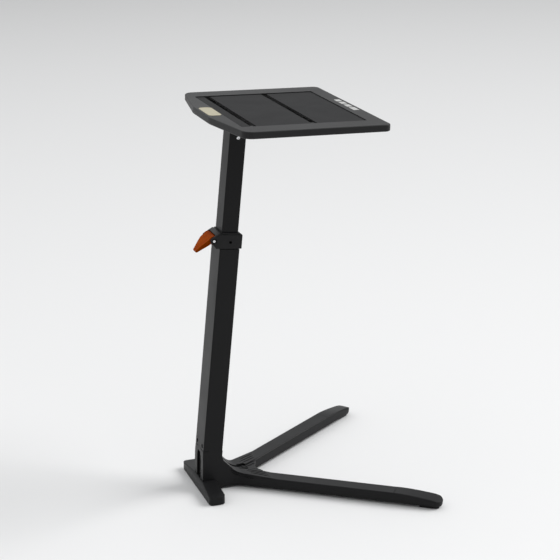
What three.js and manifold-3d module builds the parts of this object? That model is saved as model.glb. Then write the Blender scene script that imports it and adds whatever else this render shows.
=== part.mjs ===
// A height-adjustable desk for a bicycle trainer, built from a foot bar, two formed legs,
// a leaning telescopic post with a lever clamp, and a tray top with two device grooves.
// Millimetres, +Z up. The legs point along +X, where the rider sits; -Y is the rider's left.
import * as THREE from "three";
import { mergeVertices } from "three/addons/utils/BufferGeometryUtils.js";
import Module from "manifold-3d";

const wasm = await Module();
wasm.setup();

// Stance: how the post and the tray stand over the floor
const POST_LEAN = THREE.MathUtils.degToRad(5.44);
const TRAY_SLOPE = THREE.MathUtils.degToRad(1.3);
const TRAY_SEAT = 985.6; // along the post, from the floor to the underside of the tray
const FIT = 0.3; // clearance between pieces that touch
const SLIDE_FIT = 0.4; // clearance of a piece that slides in another
const OVERRUN = 5; // how far a cutter runs past what it cuts
const FLOOR_GAP = 1.5; // the foot bar stays this far above the floor
const WELD = 0.0005; // vertices closer than this are one

// Lower tube, the fixed half of the post
const LOWER_WIDTH = 72;
const LOWER_DEPTH = 52.4;
const LOWER_CORNER = 3.5;
const LOWER_WALL = 2.5;
const LOWER_START = 112.3; // along the post, where the tube stands on the hub and the legs
const SCREW_LEVEL = 122; // along the post, the two front screws
const SCREW_SPREAD = 20.5; // from the middle of the post
const SCREW_HOLE_RADIUS = 4.2;
const SCREW_HEAD_HEIGHT = 3;
const SCREW_DEPTH = 14; // depth of the hole behind the tube's face
const TUBE_SCREW_RADIUS = 2.5;
const TUBE_SCREW_LENGTH = 9;
const TUBE_SCREW_SINK = 1.5; // head below the tube's face

// Upper tube, the sliding half of the post
const UPPER_WIDTH = 54.4;
const UPPER_DEPTH = 43.2;
const UPPER_CORNER = 3;
const UPPER_WALL = 2;
const RAISE_TRAVEL = 150;
const STOP_GAP = 3; // left between the glide and the liner at the top of the travel
const CROSS_BOLT_DROP = 45.6; // from the underside of the tray down to the cross bolt

// Collar and its liner
const COLLAR_TOP = 697;
const COLLAR_HEIGHT = 38;
const COLLAR_BEVEL = 3.5; // how far its top falls towards the outside
const COLLAR_BEVEL_RUN = 5.5; // over this width
const COLLAR_BACK_WALL = 7.7;
const LINER_LENGTH = 100;
const LINER_LIP = 1.2; // how far the liner shows above the collar
const SIDE_SCREW_DROP = 21.8; // below the top of the collar
const SIDE_SCREW_RADIUS = 3;
const SIDE_SCREW_LENGTH = 6;
const SIDE_SCREW_SINK = 1; // head below the face

// Clamp: lever, pin and shoe
const PIN_OUT = 16.1; // pin axis in front of the lower tube's front face
const PIN_DROP = 19.3; // pin axis below the top of the collar
const PIN_RADIUS = 4;
const PIN_SINK = 1.2; // pin end below the cheek's face
const CHEEK_RADIUS = 8.6; // round nose of the cheeks, about the pin
const CHEEK_RUN = 3; // level part of the hood's top before it falls to the nose
const CHEEK_STEP = 10.5; // level part of the cheeks' underside
const RING_RADIUS = 6.4;
const RING_DEPTH = 2.4; // counterbore for the retaining ring and the pin end
const RING_THICKNESS = 1;
const LEVER_HEAD_WIDTH = 53;
const LEVER_TIP_WIDTH = 17;
const LEVER_WIDE_SHARE = 0.3; // of its reach, where the lever starts to narrow
const LEVER_HEAD_RADIUS = 11.7;
const CAM_THROW = 1.5; // the head's centre is off the pin axis by this much
const LEVER_REACH = 52; // pin axis to tip
const LEVER_ROOT_THICKNESS = 18;
const LEVER_TIP_THICKNESS = 6.5;
const LEVER_DROOP = THREE.MathUtils.degToRad(41.8); // below square to the post, when closed
const LEVER_HOLLOW = 6.4; // how deep the arm's upper side is drawn in behind the head
const LEVER_BELLY = 2; // how far its underside swells behind the head
const LEVER_GRIP_RADIUS = 1.6; // finger grooves under the tip
const LEVER_GRIP_PITCH = 5.5;
const LEVER_GRIP_COUNT = 3;
const SHOE_WIDTH = 17.4;
const SHOE_HEIGHT = 18;

// Legs: formed side plates that run on as splayed legs
const LEG_SPLAY = THREE.MathUtils.degToRad(35);
const LEG_WIDTH = 42.5;
const LEG_HEIGHT = 34;
const LEG_CLEARANCE = 6.5; // metal above the floor
const LEG_AXIS_START = 60.6; // where the two leg axes meet, behind the post's foot
const LEG_REACH = 575; // from that point to the end of the toe
const LEG_EDGE = 4; // rounded top edge
const LEG_WALL = 4;
const LEG_CHANNEL_START = 70;
const LEG_BEND_RADIUS = 40;
const TOE_RADIUS = 20;
const TOE_DROP = 23; // the top falls this much to the end of the toe
const TOE_RUN = 130; // over this length
const TOE_CURVE = 1.35; // how much the fall steepens towards the end
const TOE_STATIONS = 6;
const TOE_SOLID = 138; // length without a channel underneath
const CHEEK_PLATE = 7; // thickness of the side plates beside the post's foot
const FLANGE_THICKNESS = 6; // front flanges of the side plates
const NOTCH_WIDTH = 32;
const NOTCH_TOP_WIDTH = 20;
const NOTCH_SHOULDER = 88; // height where the notch starts to narrow
const NOTCH_TOP = 103;
const FOOT_FRONT = 16.6; // front of the post's foot, ahead of the post's axis on the floor
const GUSSET_TOP = 86; // height where the gusset leaves the back of the post
const GUSSET_TOP_RADIUS = 24;
const GUSSET_FOOT = 74.5; // behind the post's axis on the floor
const GUSSET_FOOT_HEIGHT = 42.4;
const GUSSET_FOOT_RADIUS = 42;
const RIDGE_END = 165; // where the ridge has faded into the leg's top

// Hub between the side plates, with its web in the crotch of the legs
const TONGUE_HALF = 6; // half width of the web's narrow part
const CROTCH_RADIUS = 55;
const WEB_TRIM = 9; // the web's thin ends are cut off by this much
const WEB_DROP = 3.2; // web below the ridges beside it
const WEB_THICKNESS = 9;
const SLIT_WIDTH = 3;
const SLIT_START = 88;
const SLIT_END = 112;
const SLIT_START_SPREAD = 6.5; // from the middle to the slit's ends
const SLIT_END_SPREAD = 14.5;
const RIB_WIDTH = 4;
const RIB_HEIGHT = 1.6;
const RIB_STARTS = [96, 108];
const HUB_CORE = 34; // thickness of the hub behind the notch
const SPIGOT_LENGTH = 62;
const SPIGOT_WALL = 6;
const HUB_FLOOR = 9;
const SPIGOT_FLOOR = 4; // the solid foot of the spigot

// Foot bar across the front, highest in the middle
const BAR_WIDTH = 42.5;
const BAR_LENGTH = 242;
const BAR_HEIGHT = 30;
const BAR_END_HEIGHT = 22;
const BAR_FORWARD = 26.4; // front edge ahead of the post's axis on the floor
const BAR_SEAT_HALF = 37; // half length of the level middle
const BAR_BEVEL = 8; // rounded top edge in front
const BAR_BACK_BEVEL = 3;
const BAR_CORNER = 14;
const BAR_WALL = 4;
const BAR_HUB_HALF = 20; // solid middle, half length
const BAR_POCKET_LENGTH = 62;
const BAR_BOLT_SPREAD = 10;
const BAR_BOLT_BACK = 6; // behind the post's axis on the floor
const BOLT_RADIUS = 4;
const BOLT_HEAD_RADIUS = 6.5;
const BOLT_HEAD_HEIGHT = 4.5;
const BAR_BOLT_LENGTH = 40;

// Rubber pads
const BAR_PAD_THICKNESS = 3.5;
const TOE_PAD_THICKNESS = 8.5;
const BAR_PAD_LENGTH = 26;
const BAR_PAD_WIDTH = 30;
const BAR_PAD_INSET = 5; // from the bar's end
const PAD_CORNER = 7;
const TOE_PAD_LENGTH = 52;
const TOE_PAD_WIDTH = 27;
const TOE_PAD_INSET = 8;

// Tray top
const TRAY_LENGTH = 400.5;
const TRAY_WIDTH = 500;
const TRAY_THICKNESS = 17.3;
const TRAY_OVERHANG = 91; // front edge ahead of the post's axis
const TRAY_BOW = 31.3; // how far the sides start behind the front edge
const TRAY_STRAIGHT = 134; // the front edge is straight over this width, then it falls back
const TRAY_BEND_RADIUS = 90; // where it starts to fall back
const TRAY_FRONT_CORNER = 26;
const TRAY_BACK_CORNER = 17;
const TRAY_EDGE = 3;
const RECESS_FRONT = 41.5; // rim at the front
const RECESS_BACK = 40.5;
const RECESS_SIDE = 60;
const RECESS_DEPTH = 5;
const RECESS_CORNER = 5;
const MAT_THICKNESS = 2.7;
const MAT_INSET = 0.5; // between a mat and the walls of its seat
const GROOVE_DEPTH = 12.6; // below the rim
const GROOVE_TOP_WIDTH = 13.6;
const GROOVE_FLOOR_WIDTH = 8;
const GROOVE_LEAN = 1.5; // how far the front wall leans ahead, for a device to rest back on
const GROOVE_LEFT_END = 33; // left between a groove and the left side of the recess
const GROOVE_RIGHT_END = 3; // on the right the grooves run up to the recess's side
const GROOVE_SHARES = [0.0823, 0.5645]; // of the recess's length, where a groove starts
const PLATE_LENGTH = 100;
const PLATE_WIDTH = 33;
const PLATE_CORNER = 12;
const PLATE_THICKNESS = 1.6;
const PLATE_PROUD = 0.5;
const PLATE_BACK = 23.2; // middle of the plate behind the front edge

// Underside cover of the tray
const COVER_INSET = 16;
const COVER_THICKNESS = 3;
const COVER_BEAD_WIDTH = 8;
const COVER_BEAD_DEPTH = 1.1;
const COVER_BEAD_LENGTH = 96;
const COVER_BEAD_PITCH = 26;
const COVER_BEAD_COUNT = 7;
const COVER_BEAD_OFFSET = 128; // middle of a row of beads from the post's axis plane
const COVER_SCREW_INSET = 26;

// Bracket that carries the tray on the upper tube
const BRACKET_LENGTH = 150;
const BRACKET_WIDTH = 118;
const BRACKET_THICKNESS = 3;
const BRACKET_CORNER = 14;
const BRACKET_CHEEK_HEIGHT = 66;
const BRACKET_CHEEK_DEPTH = 30;
const BRACKET_CHEEK_THICKNESS = 4;
const BRACKET_SCREW_INSET = 16;
const BRACKET_SCREW_RADIUS = 2.5;
const BRACKET_SCREW_LENGTH = 9;
const CROSS_BOLT_RADIUS = 3;
const CROSS_HEAD_RADIUS = 4.8;
const CROSS_HEAD_HEIGHT = 3.2;

// Sliding glide at the foot of the upper tube
const GLIDE_HEIGHT = 24;
const GLIDE_PLUG = 20;
const GLIDE_WALL = 5;

// How finely round shapes are divided
const ARC_STEPS = 6;
const ARC_SPACING = 4.5; // along a rounded corner
const LEAST_ARC_STEPS = 3;
const ROUND_STEPS = 24;
const SMALL_ROUND_STEPS = 12;
const CROTCH_STEPS = 48;
const HEXAGON = 6;
const CORNER_SHARE = 1 / 3; // radius of a small corner over the width it rounds
const CROWN_SHARE = 1 / 3; // domed part of a screw head's height
const MAT_EDGE_SHARE = 1 / 6;

// Derived places
const LOWER_BORE_WIDTH = LOWER_WIDTH - 2 * LOWER_WALL;
const LOWER_BORE_DEPTH = LOWER_DEPTH - 2 * LOWER_WALL;
const LOWER_BORE_CORNER = LOWER_CORNER - LOWER_WALL / 2;
const COLLAR_BOTTOM = COLLAR_TOP - COLLAR_HEIGHT;
const SIDE_SCREW_LEVEL = COLLAR_TOP - SIDE_SCREW_DROP;
const PIN_LEVEL = COLLAR_TOP - PIN_DROP;
const UPPER_START = COLLAR_TOP - LINER_LENGTH - STOP_GAP - RAISE_TRAVEL;
const HUB_TOP = LOWER_START - FIT;
const CHEEK_FACE = LOWER_WIDTH / 2;
const PIN_X = -LOWER_DEPTH / 2 - PIN_OUT;
const TUBE_TOP_GAP = BRACKET_THICKNESS + 2 * FIT;
const BAR_FRONT = -BAR_FORWARD;
const BAR_BACK = BAR_FRONT + BAR_WIDTH;
const TOE_END_X =
  LEG_AXIS_START +
  (LEG_REACH - TOE_RADIUS) * Math.cos(LEG_SPLAY) +
  (LEG_WIDTH / 2 - TOE_RADIUS) * Math.sin(LEG_SPLAY) +
  TOE_RADIUS;
const RECESS_LENGTH = TRAY_LENGTH - RECESS_FRONT - RECESS_BACK;
const RECESS_WIDTH = TRAY_WIDTH - 2 * RECESS_SIDE;
const GROOVE_STARTS = GROOVE_SHARES.map((share) => share * RECESS_LENGTH);

// A closed geometry as a solid for joining and cutting.
function solid(geometry) {
  const bare = geometry.clone();
  bare.deleteAttribute("normal");
  bare.deleteAttribute("uv");
  const merged = mergeVertices(bare, WELD);
  const triVerts = new Uint32Array(merged.index.array);
  const vertProperties = merged.attributes.position.array;
  return new wasm.Manifold(new wasm.Mesh({ numProp: 3, vertProperties, triVerts }));
}

// A solid as a geometry for a mesh.
function geometryOf(body) {
  const mesh = body.getMesh();
  const geometry = new THREE.BufferGeometry();
  geometry.setAttribute("position", new THREE.BufferAttribute(mesh.vertProperties, 3));
  geometry.setIndex(new THREE.BufferAttribute(mesh.triVerts, 1));
  geometry.computeVertexNormals();
  return geometry;
}

function joined(first, ...rest) {
  return rest.reduce((whole, next) => whole.add(next), first);
}

function cut(body, ...tools) {
  return tools.reduce((whole, tool) => whole.subtract(tool), body);
}

function common(first, ...rest) {
  return rest.reduce((whole, next) => whole.intersect(next), first);
}

// Two places on an axis, the lower one first.
const span = (one, other) => [Math.min(one, other), Math.max(one, other)];

// A closed outline through corners, each given as x, y and the radius that rounds it.
function roundedOutline(corners) {
  const shape = new THREE.Shape();
  corners.forEach(([x, y, radius], i) => {
    const here = new THREE.Vector2(x, y);
    const before = new THREE.Vector2(...corners[(i + corners.length - 1) % corners.length]);
    const after = new THREE.Vector2(...corners[(i + 1) % corners.length]);
    const back = before.sub(here).normalize();
    const ahead = after.sub(here).normalize();
    const half = Math.acos(THREE.MathUtils.clamp(back.dot(ahead), -1, 1)) / 2;
    if (!radius || Math.cos(half) < Number.EPSILON) {
      if (i) shape.lineTo(x, y);
      else shape.moveTo(x, y);
      return;
    }
    const run = radius / Math.tan(half);
    const start = here.clone().addScaledVector(back, run);
    const end = here.clone().addScaledVector(ahead, run);
    const middle = back.clone().add(ahead).normalize();
    const centre = here.clone().addScaledVector(middle, radius / Math.sin(half));
    const sweep = Math.PI - 2 * half;
    const steps = Math.max(LEAST_ARC_STEPS, Math.ceil((radius * sweep) / ARC_SPACING));
    const turn = (back.cross(ahead) > 0 ? -sweep : sweep) / steps;
    if (i) shape.lineTo(start.x, start.y);
    else shape.moveTo(start.x, start.y);
    for (let step = 1; step < steps; step += 1) {
      start.rotateAround(centre, turn);
      shape.lineTo(start.x, start.y);
    }
    shape.lineTo(end.x, end.y);
  });
  shape.closePath();
  return shape;
}

function roundedRectangle(length, width, radius, x = 0, y = 0) {
  const [l, w] = [length / 2, width / 2];
  const corners = [[-l, -w], [l, -w], [l, w], [-l, w]];
  return roundedOutline(corners.map(([cx, cy]) => [x + cx, y + cy, radius]));
}

// A shape in the XY plane, raised from one level to another, with an optional rounded rim.
function raised(shape, bottom, top, edge = 0) {
  const geometry = new THREE.ExtrudeGeometry(shape, {
    depth: top - bottom - 2 * edge,
    curveSegments: ARC_STEPS,
    bevelEnabled: edge > 0,
    bevelThickness: edge,
    bevelSize: edge,
    bevelOffset: -edge,
    bevelSegments: 3,
  });
  return solid(geometry.translate(0, 0, bottom + edge));
}

// A shape in the XZ plane, carried along Y from one side to the other.
function across(shape, near, far) {
  const geometry = new THREE.ExtrudeGeometry(shape, {
    depth: far - near,
    curveSegments: ARC_STEPS,
    bevelEnabled: false,
  });
  return solid(geometry.rotateX(Math.PI / 2).translate(0, far, 0));
}

// A shape in the YZ plane, carried along X from back to front.
function lengthwise(shape, start, end) {
  const geometry = new THREE.ExtrudeGeometry(shape, {
    depth: end - start,
    curveSegments: ARC_STEPS,
    bevelEnabled: false,
  });
  return solid(geometry.rotateX(Math.PI / 2).rotateZ(Math.PI / 2).translate(start, 0, 0));
}

function block(x0, x1, y0, y1, z0, z1) {
  const geometry = new THREE.BoxGeometry(x1 - x0, y1 - y0, z1 - z0);
  return solid(geometry.translate((x0 + x1) / 2, (y0 + y1) / 2, (z0 + z1) / 2));
}

// A solid through a row of rings, each a closed list of points that turns left about the run.
function loft(rings) {
  const count = rings[0].length;
  const index = [];
  for (let i = 1; i < count - 1; i += 1) {
    const last = (rings.length - 1) * count;
    index.push(0, i + 1, i, last, last + i, last + i + 1);
  }
  for (let ring = 0; ring < rings.length - 1; ring += 1) {
    for (let i = 0; i < count; i += 1) {
      const [a, b] = [ring * count + i, ring * count + ((i + 1) % count)];
      index.push(a, b, b + count, a, b + count, a + count);
    }
  }
  const geometry = new THREE.BufferGeometry();
  geometry.setAttribute("position", new THREE.Float32BufferAttribute(rings.flat(2), 3));
  geometry.setIndex(index);
  return solid(geometry);
}

// A round bar along Y, X or Z, between two places on its axis.
function barAlongY(radius, x, z, y0, y1, steps = ROUND_STEPS) {
  const geometry = new THREE.CylinderGeometry(radius, radius, y1 - y0, steps);
  return solid(geometry.translate(x, (y0 + y1) / 2, z));
}

function barAlongX(radius, y, z, x0, x1, steps = SMALL_ROUND_STEPS) {
  const geometry = new THREE.CylinderGeometry(radius, radius, x1 - x0, steps).rotateZ(Math.PI / 2);
  return solid(geometry.translate((x0 + x1) / 2, y, z));
}

function barAlongZ(radius, x, y, z0, z1, steps = SMALL_ROUND_STEPS) {
  const geometry = new THREE.CylinderGeometry(radius, radius, z1 - z0, steps).rotateX(Math.PI / 2);
  return solid(geometry.translate(x, y, (z0 + z1) / 2));
}

// A domed screw along +Z: the head's underside is at zero and the shank points down.
function screw(headRadius, headHeight, shankRadius, shankLength) {
  const crown = headHeight * CROWN_SHARE;
  const profile = [
    new THREE.Vector2(0, -shankLength),
    new THREE.Vector2(shankRadius, -shankLength),
    new THREE.Vector2(shankRadius, 0),
    new THREE.Vector2(headRadius, 0),
    new THREE.Vector2(headRadius, headHeight - crown),
    new THREE.Vector2(headRadius - crown, headHeight),
    new THREE.Vector2(0, headHeight),
  ];
  const turned = new THREE.LatheGeometry(profile, SMALL_ROUND_STEPS).rotateX(Math.PI / 2);
  const socket = headRadius / 2;
  const recess = new THREE.CylinderGeometry(socket, socket, headHeight, HEXAGON)
    .rotateX(Math.PI / 2)
    .translate(0, 0, headHeight);
  return solid(turned).subtract(solid(recess));
}

// The same solid turned about an axis by an angle and moved.
function placed(body, { axis = "Y", angle = 0, x = 0, y = 0, z = 0 }) {
  const geometry = geometryOf(body);
  if (axis === "X") geometry.rotateX(angle);
  if (axis === "Y") geometry.rotateY(angle);
  if (axis === "Z") geometry.rotateZ(angle);
  return solid(geometry.translate(x, y, z));
}

function mirroredInY(body) {
  const mesh = body.getMesh();
  const vertProperties = mesh.vertProperties.map((value, i) => (i % 3 === 1 ? -value : value));
  const triVerts = mesh.triVerts.slice().reverse();
  return new wasm.Manifold(new wasm.Mesh({ numProp: 3, vertProperties, triVerts }));
}

const SATIN_BLACK = { color: 0x2b2b2c, roughness: 0.5, metalness: 0.2 };
const MOULDED_BLACK = { color: 0x232324, roughness: 0.6, metalness: 0 };
const CHARCOAL = { color: 0x3d3d3e, roughness: 0.6, metalness: 0 };
const DARK_RUBBER = { color: 0x1c1c1d, roughness: 0.85, metalness: 0 };
const BURNT_ORANGE = { color: 0xb5500b, roughness: 0.45, metalness: 0 };
const BRIGHT_STEEL = { color: 0xc9c9cb, roughness: 0.25, metalness: 1 };
const BLACK_STEEL = { color: 0x18181a, roughness: 0.4, metalness: 0.6 };
const PALE_GOLD = { color: 0xe6dcb8, roughness: 0.3, metalness: 0.8 };

function add(group, name, body, finish) {
  const mesh = new THREE.Mesh(geometryOf(body), new THREE.MeshStandardMaterial(finish));
  mesh.name = name;
  group.add(mesh);
}

// Pieces of one kind, each in a node of its own.
function addEach(group, names, bodies, finish) {
  bodies.forEach((body, i) => add(group, names[i], body, finish));
}

const PAIR = ["left", "right"];
const CORNERS = ["front_left", "rear_left", "rear_right", "front_right"];
const EDGES = ["front_left", "front_right", "middle_left", "middle_right", "rear_left", "rear_right"];
const named = (kind, places) => places.map((place) => `${kind}_${place}`);

// The object stands with the middle of its footprint on the origin.
const desk = new THREE.Group();
desk.position.x = -(BAR_FRONT + TOE_END_X) / 2;
const post = new THREE.Group();
post.rotation.y = POST_LEAN;
const top = new THREE.Group();
top.position.set(TRAY_SEAT * Math.sin(POST_LEAN), 0, TRAY_SEAT * Math.cos(POST_LEAN));
top.rotation.y = TRAY_SLOPE;
desk.add(post, top);

// The post's axis at a height above the floor, and its front and back faces.
const axisAt = (z) => z * Math.tan(POST_LEAN);
const HALF_DEPTH_LEVEL = LOWER_DEPTH / 2 / Math.cos(POST_LEAN);
const frontAt = (z) => axisAt(z) - HALF_DEPTH_LEVEL;
const backAt = (z) => axisAt(z) + HALF_DEPTH_LEVEL;

// A solid that was drawn along the post, brought into the standing frame.
const alongPost = (body) => placed(body, { angle: POST_LEAN });

// The outer edge of a leg in plan, and the inner edge, as y over x.
const LEG_HALF_Y = LEG_WIDTH / 2 / Math.cos(LEG_SPLAY);
const legAxisY = (x) => (x - LEG_AXIS_START) * Math.tan(LEG_SPLAY);
const outerBendX = LEG_AXIS_START + (CHEEK_FACE - LEG_HALF_Y) / Math.tan(LEG_SPLAY);

function footBar() {
  const corners = [
    [BAR_FRONT, -BAR_LENGTH / 2, BAR_CORNER],
    [BAR_BACK, -BAR_LENGTH / 2, BAR_CORNER],
    [BAR_BACK, BAR_LENGTH / 2, BAR_CORNER],
    [BAR_FRONT, BAR_LENGTH / 2, BAR_CORNER],
  ];
  const section = (y, top) => {
    const low = top - BAR_BEVEL;
    const ring = [
      [BAR_FRONT, y, FLOOR_GAP],
      [BAR_FRONT, y, low],
    ];
    for (let i = 1; i < ARC_STEPS; i += 1) {
      const angle = (i / ARC_STEPS) * (Math.PI / 2);
      const x = BAR_FRONT + BAR_BEVEL * (1 - Math.cos(angle));
      ring.push([x, y, low + BAR_BEVEL * Math.sin(angle)]);
    }
    ring.push([BAR_FRONT + BAR_BEVEL, y, top]);
    ring.push([BAR_BACK - BAR_BACK_BEVEL, y, top]);
    ring.push([BAR_BACK, y, top - BAR_BACK_BEVEL]);
    ring.push([BAR_BACK, y, FLOOR_GAP]);
    return ring;
  };
  const end = BAR_LENGTH / 2;
  const body = loft([
    section(-end, BAR_END_HEIGHT),
    section(-BAR_SEAT_HALF, BAR_HEIGHT),
    section(BAR_SEAT_HALF, BAR_HEIGHT),
    section(end, BAR_END_HEIGHT),
  ]);
  let bar = common(body, raised(roundedOutline(corners), -OVERRUN, BAR_HEIGHT + OVERRUN));
  const middle = (BAR_FRONT + BAR_BACK) / 2;
  for (const side of [-1, 1]) {
    const pocket = roundedRectangle(
      BAR_WIDTH - 2 * BAR_WALL,
      BAR_POCKET_LENGTH,
      PAD_CORNER,
      middle,
      side * (BAR_HUB_HALF + BAR_POCKET_LENGTH / 2),
    );
    bar = cut(bar, raised(pocket, -OVERRUN, BAR_END_HEIGHT - BAR_WALL));
    bar = cut(bar, raised(barPadOutline(side, FIT), -OVERRUN, BAR_PAD_THICKNESS + FIT));
    const y = side * BAR_BOLT_SPREAD;
    bar = cut(bar, barAlongZ(BOLT_RADIUS + FIT, BAR_BOLT_BACK, y, -OVERRUN, BAR_HEIGHT + OVERRUN));
    const seat = FLOOR_GAP + BOLT_HEAD_HEIGHT;
    bar = cut(bar, barAlongZ(BOLT_HEAD_RADIUS + FIT, BAR_BOLT_BACK, y, -OVERRUN, seat + FIT));
  }
  return bar;
}

function barPadOutline(side, spare) {
  const y = side * (BAR_LENGTH / 2 - BAR_PAD_INSET - BAR_PAD_LENGTH / 2);
  const x = (BAR_FRONT + BAR_BACK) / 2;
  const width = BAR_PAD_WIDTH + 2 * spare;
  return roundedRectangle(width, BAR_PAD_LENGTH + 2 * spare, PAD_CORNER + spare, x, y);
}

// The bolts rise through the bar into the hub.
function footBolts() {
  const bolt = placed(screw(BOLT_HEAD_RADIUS, BOLT_HEAD_HEIGHT, BOLT_RADIUS, BAR_BOLT_LENGTH), {
    axis: "X",
    angle: Math.PI,
  });
  return [-1, 1].map((side) =>
    placed(bolt, { x: BAR_BOLT_BACK, y: side * BAR_BOLT_SPREAD, z: FLOOR_GAP + BOLT_HEAD_HEIGHT }),
  );
}

// The side view that the side plates and gussets share, from the post's foot to the legs.
function sideOutline(drop = 0) {
  const kneeZ = (HALF_DEPTH_LEVEL - FOOT_FRONT) / Math.tan(POST_LEAN);
  return roundedOutline([
    [-FOOT_FRONT, LEG_CLEARANCE, 0],
    [-FOOT_FRONT, kneeZ, 0],
    [frontAt(LOWER_START + OVERRUN), LOWER_START + OVERRUN, 0],
    [backAt(LOWER_START + OVERRUN), LOWER_START + OVERRUN, 0],
    [backAt(GUSSET_TOP), GUSSET_TOP, GUSSET_TOP_RADIUS],
    [GUSSET_FOOT, GUSSET_FOOT_HEIGHT - drop, GUSSET_FOOT_RADIUS],
    [RIDGE_END, LEG_HEIGHT - drop, 0],
    [RIDGE_END + OVERRUN, LEG_HEIGHT - drop, 0],
    [RIDGE_END + OVERRUN, LEG_CLEARANCE, 0],
  ]);
}

// The room above the square cut where the lower tube starts.
function tubeRoom() {
  const side = LOWER_WIDTH;
  return alongPost(block(-side, side, -side, side, HUB_TOP, 2 * LOWER_START));
}

// The inner edge of a side plate, from the post's back to the straight leg.
function webEdge(side, inset) {
  const y = TONGUE_HALF + inset;
  const meet = LEG_AXIS_START + (y + LEG_HALF_Y) / Math.tan(LEG_SPLAY);
  return { y: side * y, x: meet };
}

function legPlan(inset) {
  const direction = new THREE.Vector2(Math.cos(LEG_SPLAY), Math.sin(LEG_SPLAY));
  const normal = new THREE.Vector2(-direction.y, direction.x);
  const start = new THREE.Vector2(LEG_AXIS_START, 0);
  const end = start.clone().addScaledVector(direction, LEG_REACH);
  const half = LEG_WIDTH / 2;
  const outerEnd = end.clone().addScaledVector(normal, half);
  const innerEnd = end.clone().addScaledVector(normal, -half);
  const inner = webEdge(1, inset);
  return roundedOutline([
    [backAt(BAR_HEIGHT) - LOWER_DEPTH / 2, inner.y, 0],
    [inner.x, inner.y, LEG_BEND_RADIUS],
    [innerEnd.x, innerEnd.y, TOE_RADIUS],
    [outerEnd.x, outerEnd.y, TOE_RADIUS],
    [outerBendX, CHEEK_FACE, LEG_BEND_RADIUS],
    [backAt(BAR_HEIGHT) - LOWER_DEPTH / 2, CHEEK_FACE, 0],
  ]);
}

// The raised ridge narrows towards its end, so that it fades inside the leg's rounded edge.
function ridgePlan() {
  const inner = webEdge(1, FIT);
  const outerY = legAxisY(RIDGE_END) + LEG_HALF_Y - LEG_EDGE;
  const innerY = legAxisY(RIDGE_END) - LEG_HALF_Y + LEG_EDGE;
  const front = -LOWER_DEPTH;
  return roundedOutline([
    [front, inner.y, 0],
    [inner.x, inner.y, LEG_BEND_RADIUS],
    [RIDGE_END, innerY, 0],
    [RIDGE_END, outerY, 0],
    [outerBendX, CHEEK_FACE, LEG_BEND_RADIUS],
    [front, CHEEK_FACE, 0],
  ]);
}

// One leg, on the side where y is positive.
function leg() {
  const alongLeg = (body) => placed(body, { axis: "Z", angle: LEG_SPLAY, x: LEG_AXIS_START });
  const shin = raised(legPlan(FIT), LEG_CLEARANCE, LEG_HEIGHT, LEG_EDGE);
  const sideView = across(sideOutline(), -TRAY_WIDTH, TRAY_WIDTH);
  const tubeOutline = roundedRectangle(LOWER_DEPTH, LOWER_WIDTH, LOWER_CORNER);
  const column = alongPost(raised(tubeOutline, -OVERRUN, LOWER_START + OVERRUN));
  const behind = block(backAt(0) - LOWER_CORNER, TOE_END_X, 0, TRAY_WIDTH, 0, TRAY_WIDTH);
  const ridge = common(raised(ridgePlan(), LEG_CLEARANCE, LOWER_START), sideView, joined(column, behind));
  let body = joined(shin, ridge);

  // The side plate beside the post's foot is open inside, behind its front flange.
  const innerY = CHEEK_FACE - CHEEK_PLATE;
  const hollowFront = -FOOT_FRONT + FLANGE_THICKNESS;
  const hollowBack = backAt(0) + OVERRUN;
  const hollow = block(hollowFront, hollowBack, 0, innerY, -OVERRUN, LOWER_START);
  const flare = alongPost(block(-LOWER_DEPTH, LOWER_DEPTH / 2 + FIT, 0, innerY, 0, LOWER_START));
  const notch = roundedOutline([
    [-NOTCH_WIDTH / 2, -OVERRUN, 0],
    [NOTCH_WIDTH / 2, -OVERRUN, 0],
    [NOTCH_WIDTH / 2, NOTCH_SHOULDER, 0],
    [NOTCH_TOP_WIDTH / 2, NOTCH_TOP, 0],
    [NOTCH_TOP_WIDTH / 2, 2 * LOWER_START, 0],
    [-NOTCH_TOP_WIDTH / 2, 2 * LOWER_START, 0],
    [-NOTCH_TOP_WIDTH / 2, NOTCH_TOP, 0],
    [-NOTCH_WIDTH / 2, NOTCH_SHOULDER, 0],
  ]);
  const behindFlange = block(hollowFront, TOE_END_X, 0, TRAY_WIDTH, -OVERRUN, TRAY_WIDTH);
  body = cut(body, lengthwise(notch, -LOWER_DEPTH, hollowFront), hollow);
  body = cut(body, common(flare, behindFlange));
  body = cut(body, tubeRoom());

  // Over the foot bar the side plate stands on the bar.
  body = cut(body, block(-LOWER_DEPTH, BAR_BACK + FIT, 0, TRAY_WIDTH, -OVERRUN, BAR_HEIGHT + FIT));

  // The leg is a channel, open underneath, with a solid toe that falls away at its end.
  const channelEnd = LEG_REACH - TOE_SOLID;
  const channel = roundedRectangle(
    channelEnd - LEG_CHANNEL_START,
    LEG_WIDTH - 2 * LEG_WALL,
    PAD_CORNER,
    (channelEnd + LEG_CHANNEL_START) / 2,
  );
  body = cut(body, alongLeg(raised(channel, -OVERRUN, LEG_HEIGHT - LEG_WALL)));
  const beyond = block(LEG_REACH - TOE_RUN, LEG_REACH + OVERRUN, -LEG_WIDTH, LEG_WIDTH, 0, LEG_WIDTH);
  body = cut(body, alongLeg(cut(beyond, toeForm())), slitTool(1));
  return cut(body, alongLeg(raised(toePadOutline(FIT), -OVERRUN, TOE_PAD_THICKNESS + FIT)));
}

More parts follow.
